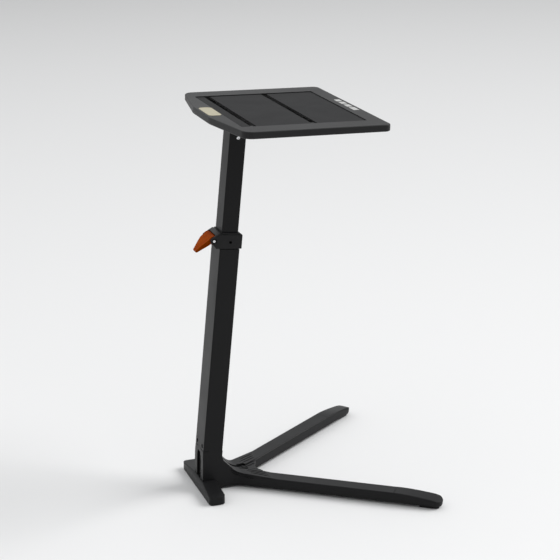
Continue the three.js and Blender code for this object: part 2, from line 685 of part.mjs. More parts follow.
// The falling top of the toe, with shoulders as round as the leg's edges.
function toeForm() {
  const half = LEG_WIDTH / 2 + FIT;
  const section = (share) => {
    const x = LEG_REACH - TOE_RUN * (1 - share);
    const top = LEG_HEIGHT + FIT - TOE_DROP * share ** TOE_CURVE;
    const ring = [
      [x, -half, -OVERRUN],
      [x, half, -OVERRUN],
    ];
    for (const side of [1, -1]) {
      for (let i = 0; i <= LEAST_ARC_STEPS; i += 1) {
        const step = side > 0 ? i : LEAST_ARC_STEPS - i;
        const angle = (step / LEAST_ARC_STEPS) * (Math.PI / 2);
        const inset = LEG_EDGE * (1 - Math.cos(angle));
        ring.push([x, side * (half - inset), top - LEG_EDGE * (1 - Math.sin(angle))]);
      }
    }
    return ring;
  };
  const shares = Array.from({ length: TOE_STATIONS + 1 }, (_, i) => i / TOE_STATIONS);
  const past = 1 + (2 * OVERRUN) / TOE_RUN;
  return loft([...shares, past].map(section));
}

// A slit on each side, where the web meets the ridge of the leg.
function slitTool(side) {
  const length = Math.hypot(SLIT_END - SLIT_START, SLIT_END_SPREAD - SLIT_START_SPREAD);
  const turn = Math.atan2(SLIT_END_SPREAD - SLIT_START_SPREAD, SLIT_END - SLIT_START);
  const slit = roundedRectangle(length, SLIT_WIDTH, SLIT_WIDTH * CORNER_SHARE);
  return placed(raised(slit, -OVERRUN, LOWER_START), {
    axis: "Z",
    angle: side * turn,
    x: (SLIT_START + SLIT_END) / 2,
    y: (side * (SLIT_START_SPREAD + SLIT_END_SPREAD)) / 2,
  });
}

function toePadOutline(spare) {
  const x = LEG_REACH - TOE_PAD_INSET - TOE_PAD_LENGTH / 2;
  const length = TOE_PAD_LENGTH + 2 * spare;
  return roundedRectangle(length, TOE_PAD_WIDTH + 2 * spare, TOE_PAD_WIDTH * CORNER_SHARE + spare, x);
}

function toePad() {
  return placed(raised(toePadOutline(0), 0, TOE_PAD_THICKNESS), {
    axis: "Z",
    angle: LEG_SPLAY,
    x: LEG_AXIS_START,
  });
}

// The hub: a back wall between the side plates, a web in the crotch, a spigot in the tube.
function hub() {
  const crotchX = LEG_AXIS_START + (LEG_HALF_Y + FIT) / Math.tan(LEG_SPLAY);
  const centreX = crotchX + CROTCH_RADIUS / Math.sin(LEG_SPLAY);
  const tongueX = crotchX + TONGUE_HALF / Math.tan(LEG_SPLAY);
  const tipX = crotchX + (CROTCH_RADIUS * Math.cos(LEG_SPLAY)) / Math.tan(LEG_SPLAY) - WEB_TRIM;
  const tipY = (tipX - crotchX) * Math.tan(LEG_SPLAY);
  const plan = roundedOutline([
    [axisAt(BAR_HEIGHT), -TONGUE_HALF, 0],
    [tongueX, -TONGUE_HALF, LEG_BEND_RADIUS],
    [tipX, -tipY, 0],
    [tipX, tipY, 0],
    [tongueX, TONGUE_HALF, LEG_BEND_RADIUS],
    [axisAt(BAR_HEIGHT), TONGUE_HALF, 0],
  ]);
  const crotch = barAlongZ(CROTCH_RADIUS, centreX, 0, -OVERRUN, LOWER_START, CROTCH_STEPS);
  const webPlan = cut(raised(plan, LEG_CLEARANCE, LOWER_START), crotch);
  const webTop = across(sideOutline(WEB_DROP), -TRAY_WIDTH, TRAY_WIDTH);
  let body = cut(common(webPlan, webTop), tubeRoom());
  const underside = block(
    backAt(0) + LEG_WALL, RIDGE_END, -TRAY_WIDTH, TRAY_WIDTH,
    -OVERRUN, LEG_HEIGHT - WEB_DROP - WEB_THICKNESS,
  );
  body = cut(body, underside);
  for (const side of [-1, 1]) {
    for (const start of RIB_STARTS) {
      const rib = roundedRectangle(RIB_WIDTH, CROTCH_RADIUS, RIB_WIDTH * CORNER_SHARE);
      const bar = placed(raised(rib, LEG_HEIGHT - WEB_THICKNESS, GUSSET_TOP), {
        axis: "Z",
        angle: -side * (Math.PI / 2 - LEG_SPLAY),
        x: start + CROTCH_RADIUS / 2,
        y: side * (CROTCH_RADIUS / 2 * Math.tan(LEG_SPLAY)),
      });
      const skin = across(sideOutline(WEB_DROP - RIB_HEIGHT), -TRAY_WIDTH, TRAY_WIDTH);
      body = joined(body, common(bar, webPlan, skin));
    }
  }

  body = cut(body, slitTool(-1), slitTool(1));

  // The core stands on the foot bar behind the notch and carries the spigot.
  const innerY = CHEEK_FACE - CHEEK_PLATE - FIT;
  const backFace = LOWER_DEPTH / 2;
  const floorLevel = HUB_TOP - HUB_FLOOR;
  const floorTop = LOWER_START + SPIGOT_FLOOR;
  const wall = alongPost(block(backFace - HUB_CORE, backFace, -innerY, innerY, 0, HUB_TOP));
  const flangeBack = -FOOT_FRONT + FLANGE_THICKNESS + FIT;
  const floor = alongPost(block(-LOWER_DEPTH, backFace, -innerY, innerY, floorLevel, HUB_TOP));
  const neck = alongPost(
    block(-LOWER_DEPTH / 2 + SPIGOT_WALL, backFace - SPIGOT_WALL, -innerY, innerY, floorLevel, floorTop),
  );
  const reach = TRAY_WIDTH;
  const behindFlange = block(flangeBack, reach, -reach, reach, LEG_CLEARANCE, reach);
  body = joined(body, common(joined(wall, floor, neck), behindFlange));

  // Over the notch the hub fills the room between the front flanges.
  const bridgeHalf = NOTCH_TOP_WIDTH / 2 - FIT;
  const bridge = block(-LOWER_DEPTH, 0, -bridgeHalf, bridgeHalf, NOTCH_TOP, 2 * LOWER_START);
  const front = across(sideOutline(), -bridgeHalf, bridgeHalf);
  body = joined(body, cut(common(bridge, front), tubeRoom()));
  const outline = roundedRectangle(
    LOWER_BORE_DEPTH - 2 * FIT, LOWER_BORE_WIDTH - 2 * FIT, LOWER_BORE_CORNER,
  );
  const core = roundedRectangle(
    LOWER_BORE_DEPTH - 2 * FIT - 2 * SPIGOT_WALL,
    LOWER_BORE_WIDTH - 2 * FIT - 2 * SPIGOT_WALL,
    LOWER_BORE_CORNER,
  );
  const spigotTop = HUB_TOP + SPIGOT_LENGTH;
  let spigot = cut(
    raised(outline, LOWER_START, spigotTop),
    raised(core, floorTop, spigotTop + OVERRUN),
  );
  const face = -LOWER_DEPTH / 2;
  for (const side of [-1, 1]) {
    const y = side * SCREW_SPREAD;
    const hole = barAlongX(TUBE_SCREW_RADIUS + FIT, y, SCREW_LEVEL, face, face + SCREW_DEPTH);
    const seatDepth = face + LOWER_WALL + SCREW_HEAD_HEIGHT - TUBE_SCREW_SINK;
    const seat = barAlongX(SCREW_HOLE_RADIUS, y, SCREW_LEVEL, face, seatDepth + FIT);
    spigot = cut(spigot, hole, seat);
  }
  body = joined(body, alongPost(spigot));
  body = cut(body, block(-LOWER_DEPTH, BAR_BACK + FIT, -TRAY_WIDTH, TRAY_WIDTH, -OVERRUN, BAR_HEIGHT + FIT));
  for (const side of [-1, 1]) {
    const y = side * BAR_BOLT_SPREAD;
    const holeTop = FLOOR_GAP + BOLT_HEAD_HEIGHT + BAR_BOLT_LENGTH + FIT;
    body = cut(body, barAlongZ(BOLT_RADIUS + FIT, BAR_BOLT_BACK, y, 0, holeTop));
  }
  return body;
}

function tubeRing(width, depth, corner, wall, start, end) {
  const outside = raised(roundedRectangle(depth, width, corner), start, end);
  const bore = roundedRectangle(depth - 2 * wall, width - 2 * wall, corner - wall / 2);
  return cut(outside, raised(bore, start - OVERRUN, end + OVERRUN));
}

function lowerTube() {
  const end = COLLAR_BOTTOM - FIT;
  let tube = tubeRing(LOWER_WIDTH, LOWER_DEPTH, LOWER_CORNER, LOWER_WALL, LOWER_START, end);
  const front = -LOWER_DEPTH / 2;
  for (const side of [-1, 1]) {
    const y = side * SCREW_SPREAD;
    const hole = barAlongX(SCREW_HOLE_RADIUS, y, SCREW_LEVEL, front - OVERRUN, front + OVERRUN);
    tube = cut(tube, hole);
  }
  return tube;
}

function tubeScrews() {
  const headRadius = SCREW_HOLE_RADIUS - FIT;
  const upright = screw(headRadius, SCREW_HEAD_HEIGHT, TUBE_SCREW_RADIUS, TUBE_SCREW_LENGTH);
  const turned = placed(upright, { angle: -Math.PI / 2 });
  const seat = -LOWER_DEPTH / 2 + LOWER_WALL + SCREW_HEAD_HEIGHT - TUBE_SCREW_SINK;
  return [-1, 1].map((side) => placed(turned, { x: seat, y: side * SCREW_SPREAD, z: SCREW_LEVEL }));
}

// The room under the collar's bevelled top: level over the tube, falling to the nose in front.
function collarRoof(run, fall, back) {
  const spread = CHEEK_FACE + OVERRUN;
  const inner = CHEEK_FACE - COLLAR_BEVEL_RUN;
  const low = COLLAR_BOTTOM - OVERRUN;
  const drop = (COLLAR_BEVEL * (COLLAR_BEVEL_RUN + OVERRUN)) / COLLAR_BEVEL_RUN;
  const section = (x, middle, side) => [
    [x, -spread, low],
    [x, spread, low],
    [x, spread, side],
    [x, inner, middle],
    [x, -inner, middle],
    [x, -spread, side],
  ];
  const level = COLLAR_TOP + FIT;
  const ahead = PIN_X - CHEEK_RADIUS - OVERRUN;
  const noseLevel = level - (run - ahead) * fall;
  return loft([
    section(ahead, noseLevel, noseLevel - drop),
    section(run, level, level - drop),
    section(back - COLLAR_BEVEL_RUN, level, level - drop),
    section(back + OVERRUN, level - drop, level - drop),
  ]);
}

// The collar caps the lower tube, with a hood in front whose two cheeks hold the lever's pin.
function collar() {
  const front = -LOWER_DEPTH / 2;
  const back = LOWER_DEPTH / 2 - LOWER_WALL + COLLAR_BACK_WALL;
  const outline = roundedRectangle(back - front, LOWER_WIDTH, LOWER_CORNER, (front + back) / 2);
  const run = front - CHEEK_RUN;
  const step = front - CHEEK_STEP;
  const nose = new THREE.Shape();
  const slope = Math.atan2(PIN_DROP, run - PIN_X);
  const upper = slope + Math.acos(CHEEK_RADIUS / Math.hypot(PIN_DROP, run - PIN_X));
  const rise = COLLAR_BOTTOM - PIN_LEVEL;
  const under = Math.atan2(rise, step - PIN_X);
  const lower = under - Math.acos(CHEEK_RADIUS / Math.hypot(rise, step - PIN_X));
  nose.moveTo(0, COLLAR_TOP);
  nose.lineTo(run, COLLAR_TOP);
  nose.absarc(PIN_X, PIN_LEVEL, CHEEK_RADIUS, upper, lower + 2 * Math.PI, false);
  nose.lineTo(step, COLLAR_BOTTOM);
  nose.lineTo(0, COLLAR_BOTTOM);
  let body = joined(
    raised(outline, COLLAR_BOTTOM, COLLAR_TOP),
    across(nose, -CHEEK_FACE + FIT, CHEEK_FACE - FIT),
  );
  body = common(body, collarRoof(run, Math.tan(upper - Math.PI / 2), back));
  const bore = roundedRectangle(LOWER_BORE_DEPTH, LOWER_BORE_WIDTH, LOWER_BORE_CORNER);
  body = cut(body, raised(bore, COLLAR_BOTTOM - OVERRUN, COLLAR_TOP + OVERRUN));

  // The lever's head lies in a round slot under the hood, open in front and below.
  const slotHalf = LEVER_HEAD_WIDTH / 2 + SLIDE_FIT;
  const slotRadius = LEVER_HEAD_RADIUS + SLIDE_FIT;
  const slotX = PIN_X + CAM_THROW;
  const ahead = PIN_X - LEVER_REACH;
  const [low, high] = [COLLAR_BOTTOM - OVERRUN, COLLAR_TOP + OVERRUN];
  body = cut(
    body,
    barAlongY(slotRadius, slotX, PIN_LEVEL, -slotHalf, slotHalf),
    block(ahead, slotX + slotRadius, -slotHalf, slotHalf, low, PIN_LEVEL),
    block(ahead, PIN_X, -slotHalf, slotHalf, low, high),
  );
  const half = SHOE_WIDTH / 2 + SLIDE_FIT;
  const level = SHOE_HEIGHT / 2 + SLIDE_FIT;
  body = cut(body, block(PIN_X, 0, -half, half, PIN_LEVEL - level, PIN_LEVEL + level));
  body = cut(body, barAlongY(PIN_RADIUS + FIT, PIN_X, PIN_LEVEL, -LOWER_WIDTH, LOWER_WIDTH));
  for (const side of [-1, 1]) {
    const outside = side * (CHEEK_FACE + OVERRUN);
    const ringSeat = span(outside, side * (CHEEK_FACE - FIT - RING_DEPTH));
    const screwHole = span(outside, side * (UPPER_WIDTH / 2));
    body = cut(body, barAlongY(RING_RADIUS + FIT, PIN_X, PIN_LEVEL, ...ringSeat));
    body = cut(body, barAlongY(SIDE_SCREW_RADIUS + FIT, 0, SIDE_SCREW_LEVEL, ...screwHole));
  }
  return body;
}

// A plastic sleeve that guides the upper tube, held by the two side screws.
function liner() {
  const bottom = COLLAR_TOP - LINER_LENGTH;
  const top = COLLAR_TOP + LINER_LIP;
  const outline = roundedRectangle(
    LOWER_BORE_DEPTH - 2 * FIT, LOWER_BORE_WIDTH - 2 * FIT, LOWER_BORE_CORNER,
  );
  const bore = roundedRectangle(
    UPPER_DEPTH + 2 * SLIDE_FIT, UPPER_WIDTH + 2 * SLIDE_FIT, UPPER_CORNER,
  );
  let body = cut(raised(outline, bottom, top), raised(bore, bottom - OVERRUN, top + OVERRUN));
  const half = SHOE_WIDTH / 2 + SLIDE_FIT;
  const level = SHOE_HEIGHT / 2 + SLIDE_FIT;
  body = cut(body, block(-LOWER_DEPTH, 0, -half, half, PIN_LEVEL - level, PIN_LEVEL + level));
  for (const side of [-1, 1]) {
    const floor = side * (CHEEK_FACE - SIDE_SCREW_SINK - SIDE_SCREW_LENGTH - FIT);
    const seat = span(side * CHEEK_FACE, floor);
    body = cut(body, barAlongY(SIDE_SCREW_RADIUS + FIT, 0, SIDE_SCREW_LEVEL, ...seat));
  }
  return body;
}

// Two socket grub screws, one on each side of the collar.
function sideScrews() {
  return [-1, 1].map((side) => {
    const face = side * (CHEEK_FACE - SIDE_SCREW_SINK);
    const ends = span(face, face - side * SIDE_SCREW_LENGTH);
    const grub = barAlongY(SIDE_SCREW_RADIUS, 0, SIDE_SCREW_LEVEL, ...ends, SMALL_ROUND_STEPS);
    const deep = span(face + side * OVERRUN, face - side * (SIDE_SCREW_LENGTH / 2));
    return cut(grub, barAlongY(SIDE_SCREW_RADIUS / 2, 0, SIDE_SCREW_LEVEL, ...deep, HEXAGON));
  });
}

// The lever, drawn with its arm along +X and then turned down into its closed place.
function lever() {
  const offset = new THREE.Vector2(
    -CAM_THROW * Math.cos(LEVER_DROOP),
    CAM_THROW * Math.sin(LEVER_DROOP),
  );
  const half = LEVER_ROOT_THICKNESS / 2;
  const tipHalf = LEVER_TIP_THICKNESS / 2;
  const tipX = LEVER_REACH - tipHalf;
  const bellyX = LEVER_HEAD_RADIUS + CAM_THROW;
  const side = new THREE.Shape();
  side.moveTo(0, -half);
  side.quadraticCurveTo(bellyX, -half - LEVER_BELLY, tipX, -tipHalf);
  side.absarc(tipX, 0, tipHalf, -Math.PI / 2, Math.PI / 2, false);
  side.quadraticCurveTo(LEVER_HEAD_RADIUS * 2, half - LEVER_HOLLOW, LEVER_HEAD_RADIUS, half - LEVER_HOLLOW);
  side.lineTo(0, half);
  const headHalf = LEVER_HEAD_WIDTH / 2;
  const endHalf = LEVER_TIP_WIDTH / 2;
  const plan = roundedOutline([
    [-LEVER_REACH, -headHalf, 0],
    [LEVER_REACH * LEVER_WIDE_SHARE, -headHalf, LEVER_HEAD_RADIUS],
    [LEVER_REACH, -endHalf, endHalf / 2],
    [LEVER_REACH, endHalf, endHalf / 2],
    [LEVER_REACH * LEVER_WIDE_SHARE, headHalf, LEVER_HEAD_RADIUS],
    [-LEVER_REACH, headHalf, 0],
  ]);
  let body = joined(
    across(side, -headHalf, headHalf),
    barAlongY(LEVER_HEAD_RADIUS, offset.x, offset.y, -headHalf, headHalf),
  );
  body = common(body, raised(plan, -LEVER_REACH, LEVER_REACH));
  for (let i = 0; i < LEVER_GRIP_COUNT; i += 1) {
    const x = tipX - LEVER_GRIP_PITCH / 2 - i * LEVER_GRIP_PITCH;
    const slant = (half + LEVER_BELLY - tipHalf) / (tipX - bellyX);
    const level = -tipHalf - (tipX - x) * slant - LEVER_GRIP_RADIUS / 2;
    body = cut(body, barAlongY(LEVER_GRIP_RADIUS, x, level, -headHalf, headHalf, SMALL_ROUND_STEPS));
  }
  body = cut(body, barAlongY(PIN_RADIUS + FIT, 0, 0, -headHalf - OVERRUN, headHalf + OVERRUN));
  return placed(placed(body, { angle: Math.PI - LEVER_DROOP }), { x: PIN_X, z: PIN_LEVEL });
}

function leverPin() {
  const end = CHEEK_FACE - FIT - PIN_SINK;
  return barAlongY(PIN_RADIUS, PIN_X, PIN_LEVEL, -end, end);
}

function pinRings() {
  const inner = CHEEK_FACE - RING_DEPTH;
  return [-1, 1].map((side) => {
    const [near, far] = span(side * inner, side * (inner + RING_THICKNESS));
    const disc = barAlongY(RING_RADIUS, PIN_X, PIN_LEVEL, near, far);
    return cut(disc, barAlongY(PIN_RADIUS + FIT, PIN_X, PIN_LEVEL, near - OVERRUN, far + OVERRUN));
  });
}

// The shoe that the cam presses on the upper tube, rounded where the cam bears.
function clampShoe() {
  const face = -UPPER_DEPTH / 2 - FIT;
  const back = PIN_X + CAM_THROW + LEVER_HEAD_RADIUS + FIT;
  const half = SHOE_HEIGHT / 2;
  const outline = roundedOutline([
    [back, PIN_LEVEL - half, LOWER_WALL],
    [face, PIN_LEVEL - half, 0],
    [face, PIN_LEVEL + half, 0],
    [back, PIN_LEVEL + half, LOWER_WALL],
  ]);
  return across(outline, -SHOE_WIDTH / 2, SHOE_WIDTH / 2);
}

// What lies under the bracket's plate, in the post's own frame.
function belowBracket() {
  const reach = TRAY_LENGTH;
  const room = block(-reach, reach, -reach, reach, -2 * TRAY_SEAT, -TUBE_TOP_GAP);
  return placed(room, { angle: TRAY_SLOPE - POST_LEAN, z: TRAY_SEAT });
}

function upperTube() {
  const long = TRAY_SEAT + OVERRUN;
  let tube = tubeRing(UPPER_WIDTH, UPPER_DEPTH, UPPER_CORNER, UPPER_WALL, UPPER_START, long);
  tube = common(tube, belowBracket());
  const level = TRAY_SEAT - CROSS_BOLT_DROP;
  return cut(tube, barAlongY(CROSS_BOLT_RADIUS + FIT, 0, level, -UPPER_WIDTH, UPPER_WIDTH));
}

// A plastic foot for the upper tube: a plug inside it and a wide ring that slides in the bore.
function glide() {
  const ringTop = UPPER_START - FIT;
  const ring = roundedRectangle(
    LOWER_BORE_DEPTH - 2 * SLIDE_FIT, LOWER_BORE_WIDTH - 2 * SLIDE_FIT, LOWER_BORE_CORNER,
  );
  const plugDepth = UPPER_DEPTH - 2 * UPPER_WALL - 2 * FIT;
  const plugWidth = UPPER_WIDTH - 2 * UPPER_WALL - 2 * FIT;
  const plug = roundedRectangle(plugDepth, plugWidth, UPPER_CORNER);
  const core = roundedRectangle(
    plugDepth - 2 * GLIDE_WALL, plugWidth - 2 * GLIDE_WALL, UPPER_CORNER - UPPER_WALL,
  );
  const bottom = ringTop - GLIDE_HEIGHT;
  const topLevel = UPPER_START + GLIDE_PLUG;
  const body = joined(raised(ring, bottom, ringTop), raised(plug, bottom, topLevel));
  return cut(body, raised(core, bottom - OVERRUN, topLevel + OVERRUN));
}

// The bracket: a plate under the tray and two cheeks inside the upper tube.
function bracket() {
  const plate = roundedRectangle(BRACKET_LENGTH, BRACKET_WIDTH, BRACKET_CORNER);
  const top = -FIT;
  let body = raised(plate, top - BRACKET_THICKNESS, top);
  const outer = UPPER_WIDTH / 2 - UPPER_WALL - FIT;
  const cheek = roundedOutline([
    [-BRACKET_CHEEK_DEPTH / 2, -BRACKET_CHEEK_HEIGHT, BRACKET_CHEEK_DEPTH * CORNER_SHARE],
    [BRACKET_CHEEK_DEPTH / 2, -BRACKET_CHEEK_HEIGHT, BRACKET_CHEEK_DEPTH * CORNER_SHARE],
    [BRACKET_CHEEK_DEPTH / 2, top, 0],
    [-BRACKET_CHEEK_DEPTH / 2, top, 0],
  ]);
  const down = POST_LEAN - TRAY_SLOPE;
  const under = block(-BRACKET_LENGTH, BRACKET_LENGTH, -BRACKET_WIDTH, BRACKET_WIDTH, -TRAY_SEAT, top);
  for (const side of [-1, 1]) {
    const inner = outer - BRACKET_CHEEK_THICKNESS;
    const [near, far] = side > 0 ? [inner, outer] : [-outer, -inner];
    const plateSide = placed(across(cheek, near, far), { angle: down });
    body = joined(body, common(plateSide, under));
  }
  const hole = barAlongY(CROSS_BOLT_RADIUS + FIT, 0, -CROSS_BOLT_DROP, -UPPER_WIDTH, UPPER_WIDTH);
  body = cut(body, placed(hole, { angle: down }));
  for (const [x, y] of bracketScrewPlaces()) {
    body = cut(body, barAlongZ(BRACKET_SCREW_RADIUS + FIT, x, y, -TRAY_THICKNESS, OVERRUN));
  }
  return body;
}

function bracketScrewPlaces() {
  const x = BRACKET_LENGTH / 2 - BRACKET_SCREW_INSET;
  const y = BRACKET_WIDTH / 2 - BRACKET_SCREW_INSET;
  return [[-x, -y], [x, -y], [x, y], [-x, y]];
}

function bracketScrews() {
  const head = 2 * BRACKET_SCREW_RADIUS;
  const one = placed(screw(head, BRACKET_SCREW_RADIUS, BRACKET_SCREW_RADIUS, BRACKET_SCREW_LENGTH), {
    axis: "X",
    angle: Math.PI,
  });
  const level = -BRACKET_THICKNESS - 2 * FIT;
  return bracketScrewPlaces().map(([x, y]) => placed(one, { x, y, z: level }));
}

// The cross bolt runs through the tube and both cheeks, with its head on the rider's left.
function crossBolt() {
  const level = TRAY_SEAT - CROSS_BOLT_DROP;
  const face = UPPER_WIDTH / 2 + FIT;
  const length = 2 * face + CROSS_HEAD_HEIGHT + FIT;
  const bolt = screw(CROSS_HEAD_RADIUS, CROSS_HEAD_HEIGHT, CROSS_BOLT_RADIUS, length);
  return placed(placed(bolt, { axis: "X", angle: Math.PI / 2 }), { y: -face, z: level });
}

function crossNut() {
  const level = TRAY_SEAT - CROSS_BOLT_DROP;
  const face = UPPER_WIDTH / 2 + FIT;
  const body = barAlongY(CROSS_HEAD_RADIUS, 0, level, face, face + CROSS_HEAD_HEIGHT, HEXAGON);
  return cut(body, barAlongY(CROSS_BOLT_RADIUS + FIT, 0, level, 0, UPPER_WIDTH));
}

// The tray's outline: a front edge that is straight in the middle and falls back to both sides.
function trayOutline(inset = 0) {
  const front = -TRAY_OVERHANG + inset;
  const back = -TRAY_OVERHANG + TRAY_LENGTH - inset;
  const half = TRAY_WIDTH / 2 - inset;
  const angle = Math.atan2(TRAY_BOW, TRAY_WIDTH / 2 - TRAY_STRAIGHT / 2);
  const bend = TRAY_STRAIGHT / 2 - inset * Math.tan(angle / 2);
  const shoulder = front + (half - bend) * Math.tan(angle);
  return roundedOutline([
    [front, -bend, TRAY_BEND_RADIUS],
    [shoulder, -half, TRAY_FRONT_CORNER],
    [back, -half, TRAY_BACK_CORNER],
    [back, half, TRAY_BACK_CORNER],
    [shoulder, half, TRAY_FRONT_CORNER],
    [front, bend, TRAY_BEND_RADIUS],
  ]);
}

// A device groove: its front wall leans ahead and its back wall is rounded at the top.
function groove(start) {
  const x = -TRAY_OVERHANG + RECESS_FRONT + start;
  const floor = TRAY_THICKNESS - GROOVE_DEPTH;
  const profile = roundedOutline([
    [x, TRAY_THICKNESS - RECESS_DEPTH, 0],
    [x + GROOVE_LEAN, floor, GROOVE_LEAN / 2],
    [x + GROOVE_LEAN + GROOVE_FLOOR_WIDTH, floor, GROOVE_LEAN],
    [x + GROOVE_TOP_WIDTH, TRAY_THICKNESS - RECESS_DEPTH, 0],
    [x + GROOVE_TOP_WIDTH, TRAY_THICKNESS + OVERRUN, 0],
    [x, TRAY_THICKNESS + OVERRUN, 0],
  ]);
  return across(profile, GROOVE_LEFT_END - RECESS_WIDTH / 2, RECESS_WIDTH / 2 - GROOVE_RIGHT_END);
}

function tray() {
  const rim = TRAY_THICKNESS;
  const recessX = -TRAY_OVERHANG + RECESS_FRONT + RECESS_LENGTH / 2;
  const recess = roundedRectangle(RECESS_LENGTH, RECESS_WIDTH, RECESS_CORNER, recessX);
  let body = raised(trayOutline(), 0, rim, TRAY_EDGE);
  body = cut(body, raised(recess, rim - RECESS_DEPTH, rim + OVERRUN));
  for (const start of GROOVE_STARTS) body = cut(body, groove(start));
  body = cut(body, raised(plateOutline(FIT), rim - PLATE_THICKNESS + PLATE_PROUD - FIT, rim + OVERRUN));
  body = cut(body, raised(trayOutline(COVER_INSET - FIT), -OVERRUN, COVER_THICKNESS + FIT));
  for (const [x, y] of bracketScrewPlaces()) {
    body = cut(body, barAlongZ(BRACKET_SCREW_RADIUS + FIT, x, y, -OVERRUN, BRACKET_SCREW_LENGTH));
  }
  for (const [x, y] of coverScrewPlaces()) {
    body = cut(body, barAlongZ(BRACKET_SCREW_RADIUS + FIT, x, y, -OVERRUN, BRACKET_SCREW_LENGTH));
  }
  return body;
}

function plateOutline(spare) {
  const x = -TRAY_OVERHANG + PLATE_BACK;
  return roundedRectangle(PLATE_WIDTH + 2 * spare, PLATE_LENGTH + 2 * spare, PLATE_CORNER + spare, x);
}

// A blank plate set in the front rim.
function frontPlate() {
  const top = TRAY_THICKNESS + PLATE_PROUD;
  return raised(plateOutline(0), top - PLATE_THICKNESS, top);
}

// The mats: one ahead of each groove and one behind the last, each with a gap all round.
function matSpans() {
  const seat = -TRAY_OVERHANG + RECESS_FRONT;
  const starts = [0, ...GROOVE_STARTS.map((start) => start + GROOVE_TOP_WIDTH)];
  const ends = [...GROOVE_STARTS, RECESS_LENGTH];
  return starts.map((start, i) => [seat + start + MAT_INSET, seat + ends[i] - MAT_INSET]);
}

function mat([start, end]) {
  const bottom = TRAY_THICKNESS - RECESS_DEPTH + FIT;
  const width = RECESS_WIDTH - 2 * MAT_INSET;
  const outline = roundedRectangle(end - start, width, RECESS_CORNER - MAT_INSET, (start + end) / 2);
  return raised(outline, bottom, bottom + MAT_THICKNESS, MAT_THICKNESS * MAT_EDGE_SHARE);
}

function coverScrewPlaces() {
  const front = -TRAY_OVERHANG + TRAY_BOW + COVER_SCREW_INSET;
  const back = -TRAY_OVERHANG + TRAY_LENGTH - COVER_INSET - COVER_SCREW_INSET;
  const y = TRAY_WIDTH / 2 - COVER_INSET - COVER_SCREW_INSET;
  const middle = (front + back) / 2;
  return [front, middle, back].flatMap((x) => [[x, -y], [x, y]]);
}

// The underside cover has rows of shallow beads that stiffen it.
function cover() {
  let body = raised(trayOutline(COVER_INSET), 0, COVER_THICKNESS);
  for (const side of [-1, 1]) {
    for (let i = 0; i < COVER_BEAD_COUNT; i += 1) {
      const x = BRACKET_LENGTH / 2 + COVER_BEAD_PITCH / 2 + i * COVER_BEAD_PITCH;
      const bead = roundedRectangle(
        COVER_BEAD_WIDTH, COVER_BEAD_LENGTH, COVER_BEAD_WIDTH * CORNER_SHARE, x, side * COVER_BEAD_OFFSET,
      );
      body = cut(body, raised(bead, -OVERRUN, COVER_BEAD_DEPTH));
    }
  }
  for (const [x, y] of [...bracketScrewPlaces(), ...coverScrewPlaces()]) {
    body = cut(body, barAlongZ(BRACKET_SCREW_RADIUS + FIT, x, y, -OVERRUN, TRAY_THICKNESS));
  }
  for (const [x, y] of coverScrewPlaces()) {
    const head = 2 * BRACKET_SCREW_RADIUS + FIT;
    body = cut(body, barAlongZ(head, x, y, -OVERRUN, COVER_THICKNESS / 2));
  }
  return body;
}

function coverScrews() {
  const head = 2 * BRACKET_SCREW_RADIUS;
  const deep = COVER_THICKNESS / 2 - FIT;
  const length = BRACKET_SCREW_LENGTH - COVER_THICKNESS;
  const one = placed(screw(head, deep, BRACKET_SCREW_RADIUS, length), { axis: "X", angle: Math.PI });
  return coverScrewPlaces().map(([x, y]) => placed(one, { x, y, z: deep }));
}

const rightLeg = leg();
const rightPad = toePad();
add(desk, "foot_bar", footBar(), SATIN_BLACK);
addEach(desk, named("foot_bolt", PAIR), footBolts(), BLACK_STEEL);
add(desk, "foot_pad_left", raised(barPadOutline(-1, 0), 0, BAR_PAD_THICKNESS), DARK_RUBBER);
add(desk, "foot_pad_right", raised(barPadOutline(1, 0), 0, BAR_PAD_THICKNESS), DARK_RUBBER);
add(desk, "leg_right", rightLeg, SATIN_BLACK);
add(desk, "leg_left", mirroredInY(rightLeg), SATIN_BLACK);
add(desk, "toe_pad_right", rightPad, DARK_RUBBER);
add(desk, "toe_pad_left", mirroredInY(rightPad), DARK_RUBBER);
add(desk, "base_hub", hub(), SATIN_BLACK);
add(post, "lower_tube", lowerTube(), SATIN_BLACK);
addEach(post, named("tube_screw", PAIR), tubeScrews(), BLACK_STEEL);
add(post, "clamp_collar", collar(), MOULDED_BLACK);
add(post, "collar_liner", liner(), MOULDED_BLACK);
addEach(post, named("collar_screw", PAIR), sideScrews(), BLACK_STEEL);
add(post, "clamp_shoe", clampShoe(), MOULDED_BLACK);
add(post, "clamp_lever", lever(), BURNT_ORANGE);
add(post, "lever_pin", leverPin(), BRIGHT_STEEL);
addEach(post, named("pin_ring", PAIR), pinRings(), BLACK_STEEL);
add(post, "upper_tube", upperTube(), SATIN_BLACK);
add(post, "tube_glide", glide(), MOULDED_BLACK);
add(post, "cross_bolt", crossBolt(), BRIGHT_STEEL);
add(post, "cross_nut", crossNut(), BRIGHT_STEEL);
add(top, "tray_bracket", bracket(), SATIN_BLACK);
addEach(top, named("bracket_screw", CORNERS), bracketScrews(), BLACK_STEEL);
add(top, "table_tray", tray(), CHARCOAL);
add(top, "tray_cover", cover(), MOULDED_BLACK);
addEach(top, named("cover_screw", EDGES), coverScrews(), BLACK_STEEL);
add(top, "front_plate", frontPlate(), PALE_GOLD);
addEach(top, named("mat", ["front", "middle", "rear"]), matSpans().map(mat), DARK_RUBBER);

export default desk;
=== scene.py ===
# %% [markdown]
# # A height-adjustable desk for a bicycle trainer
# The desk stands in front of a bicycle on an indoor trainer. Two splayed legs and a short foot
# bar carry a leaning post, a lever clamp holds the sliding upper tube, and the tray on top has
# two grooves that hold a phone or a tablet upright.
# The measured solids come from the frame. This lesson dresses them: each visible piece gets its
# softened edges, its small features and a finish named for the real material.

# %% Load the measured frame
import math

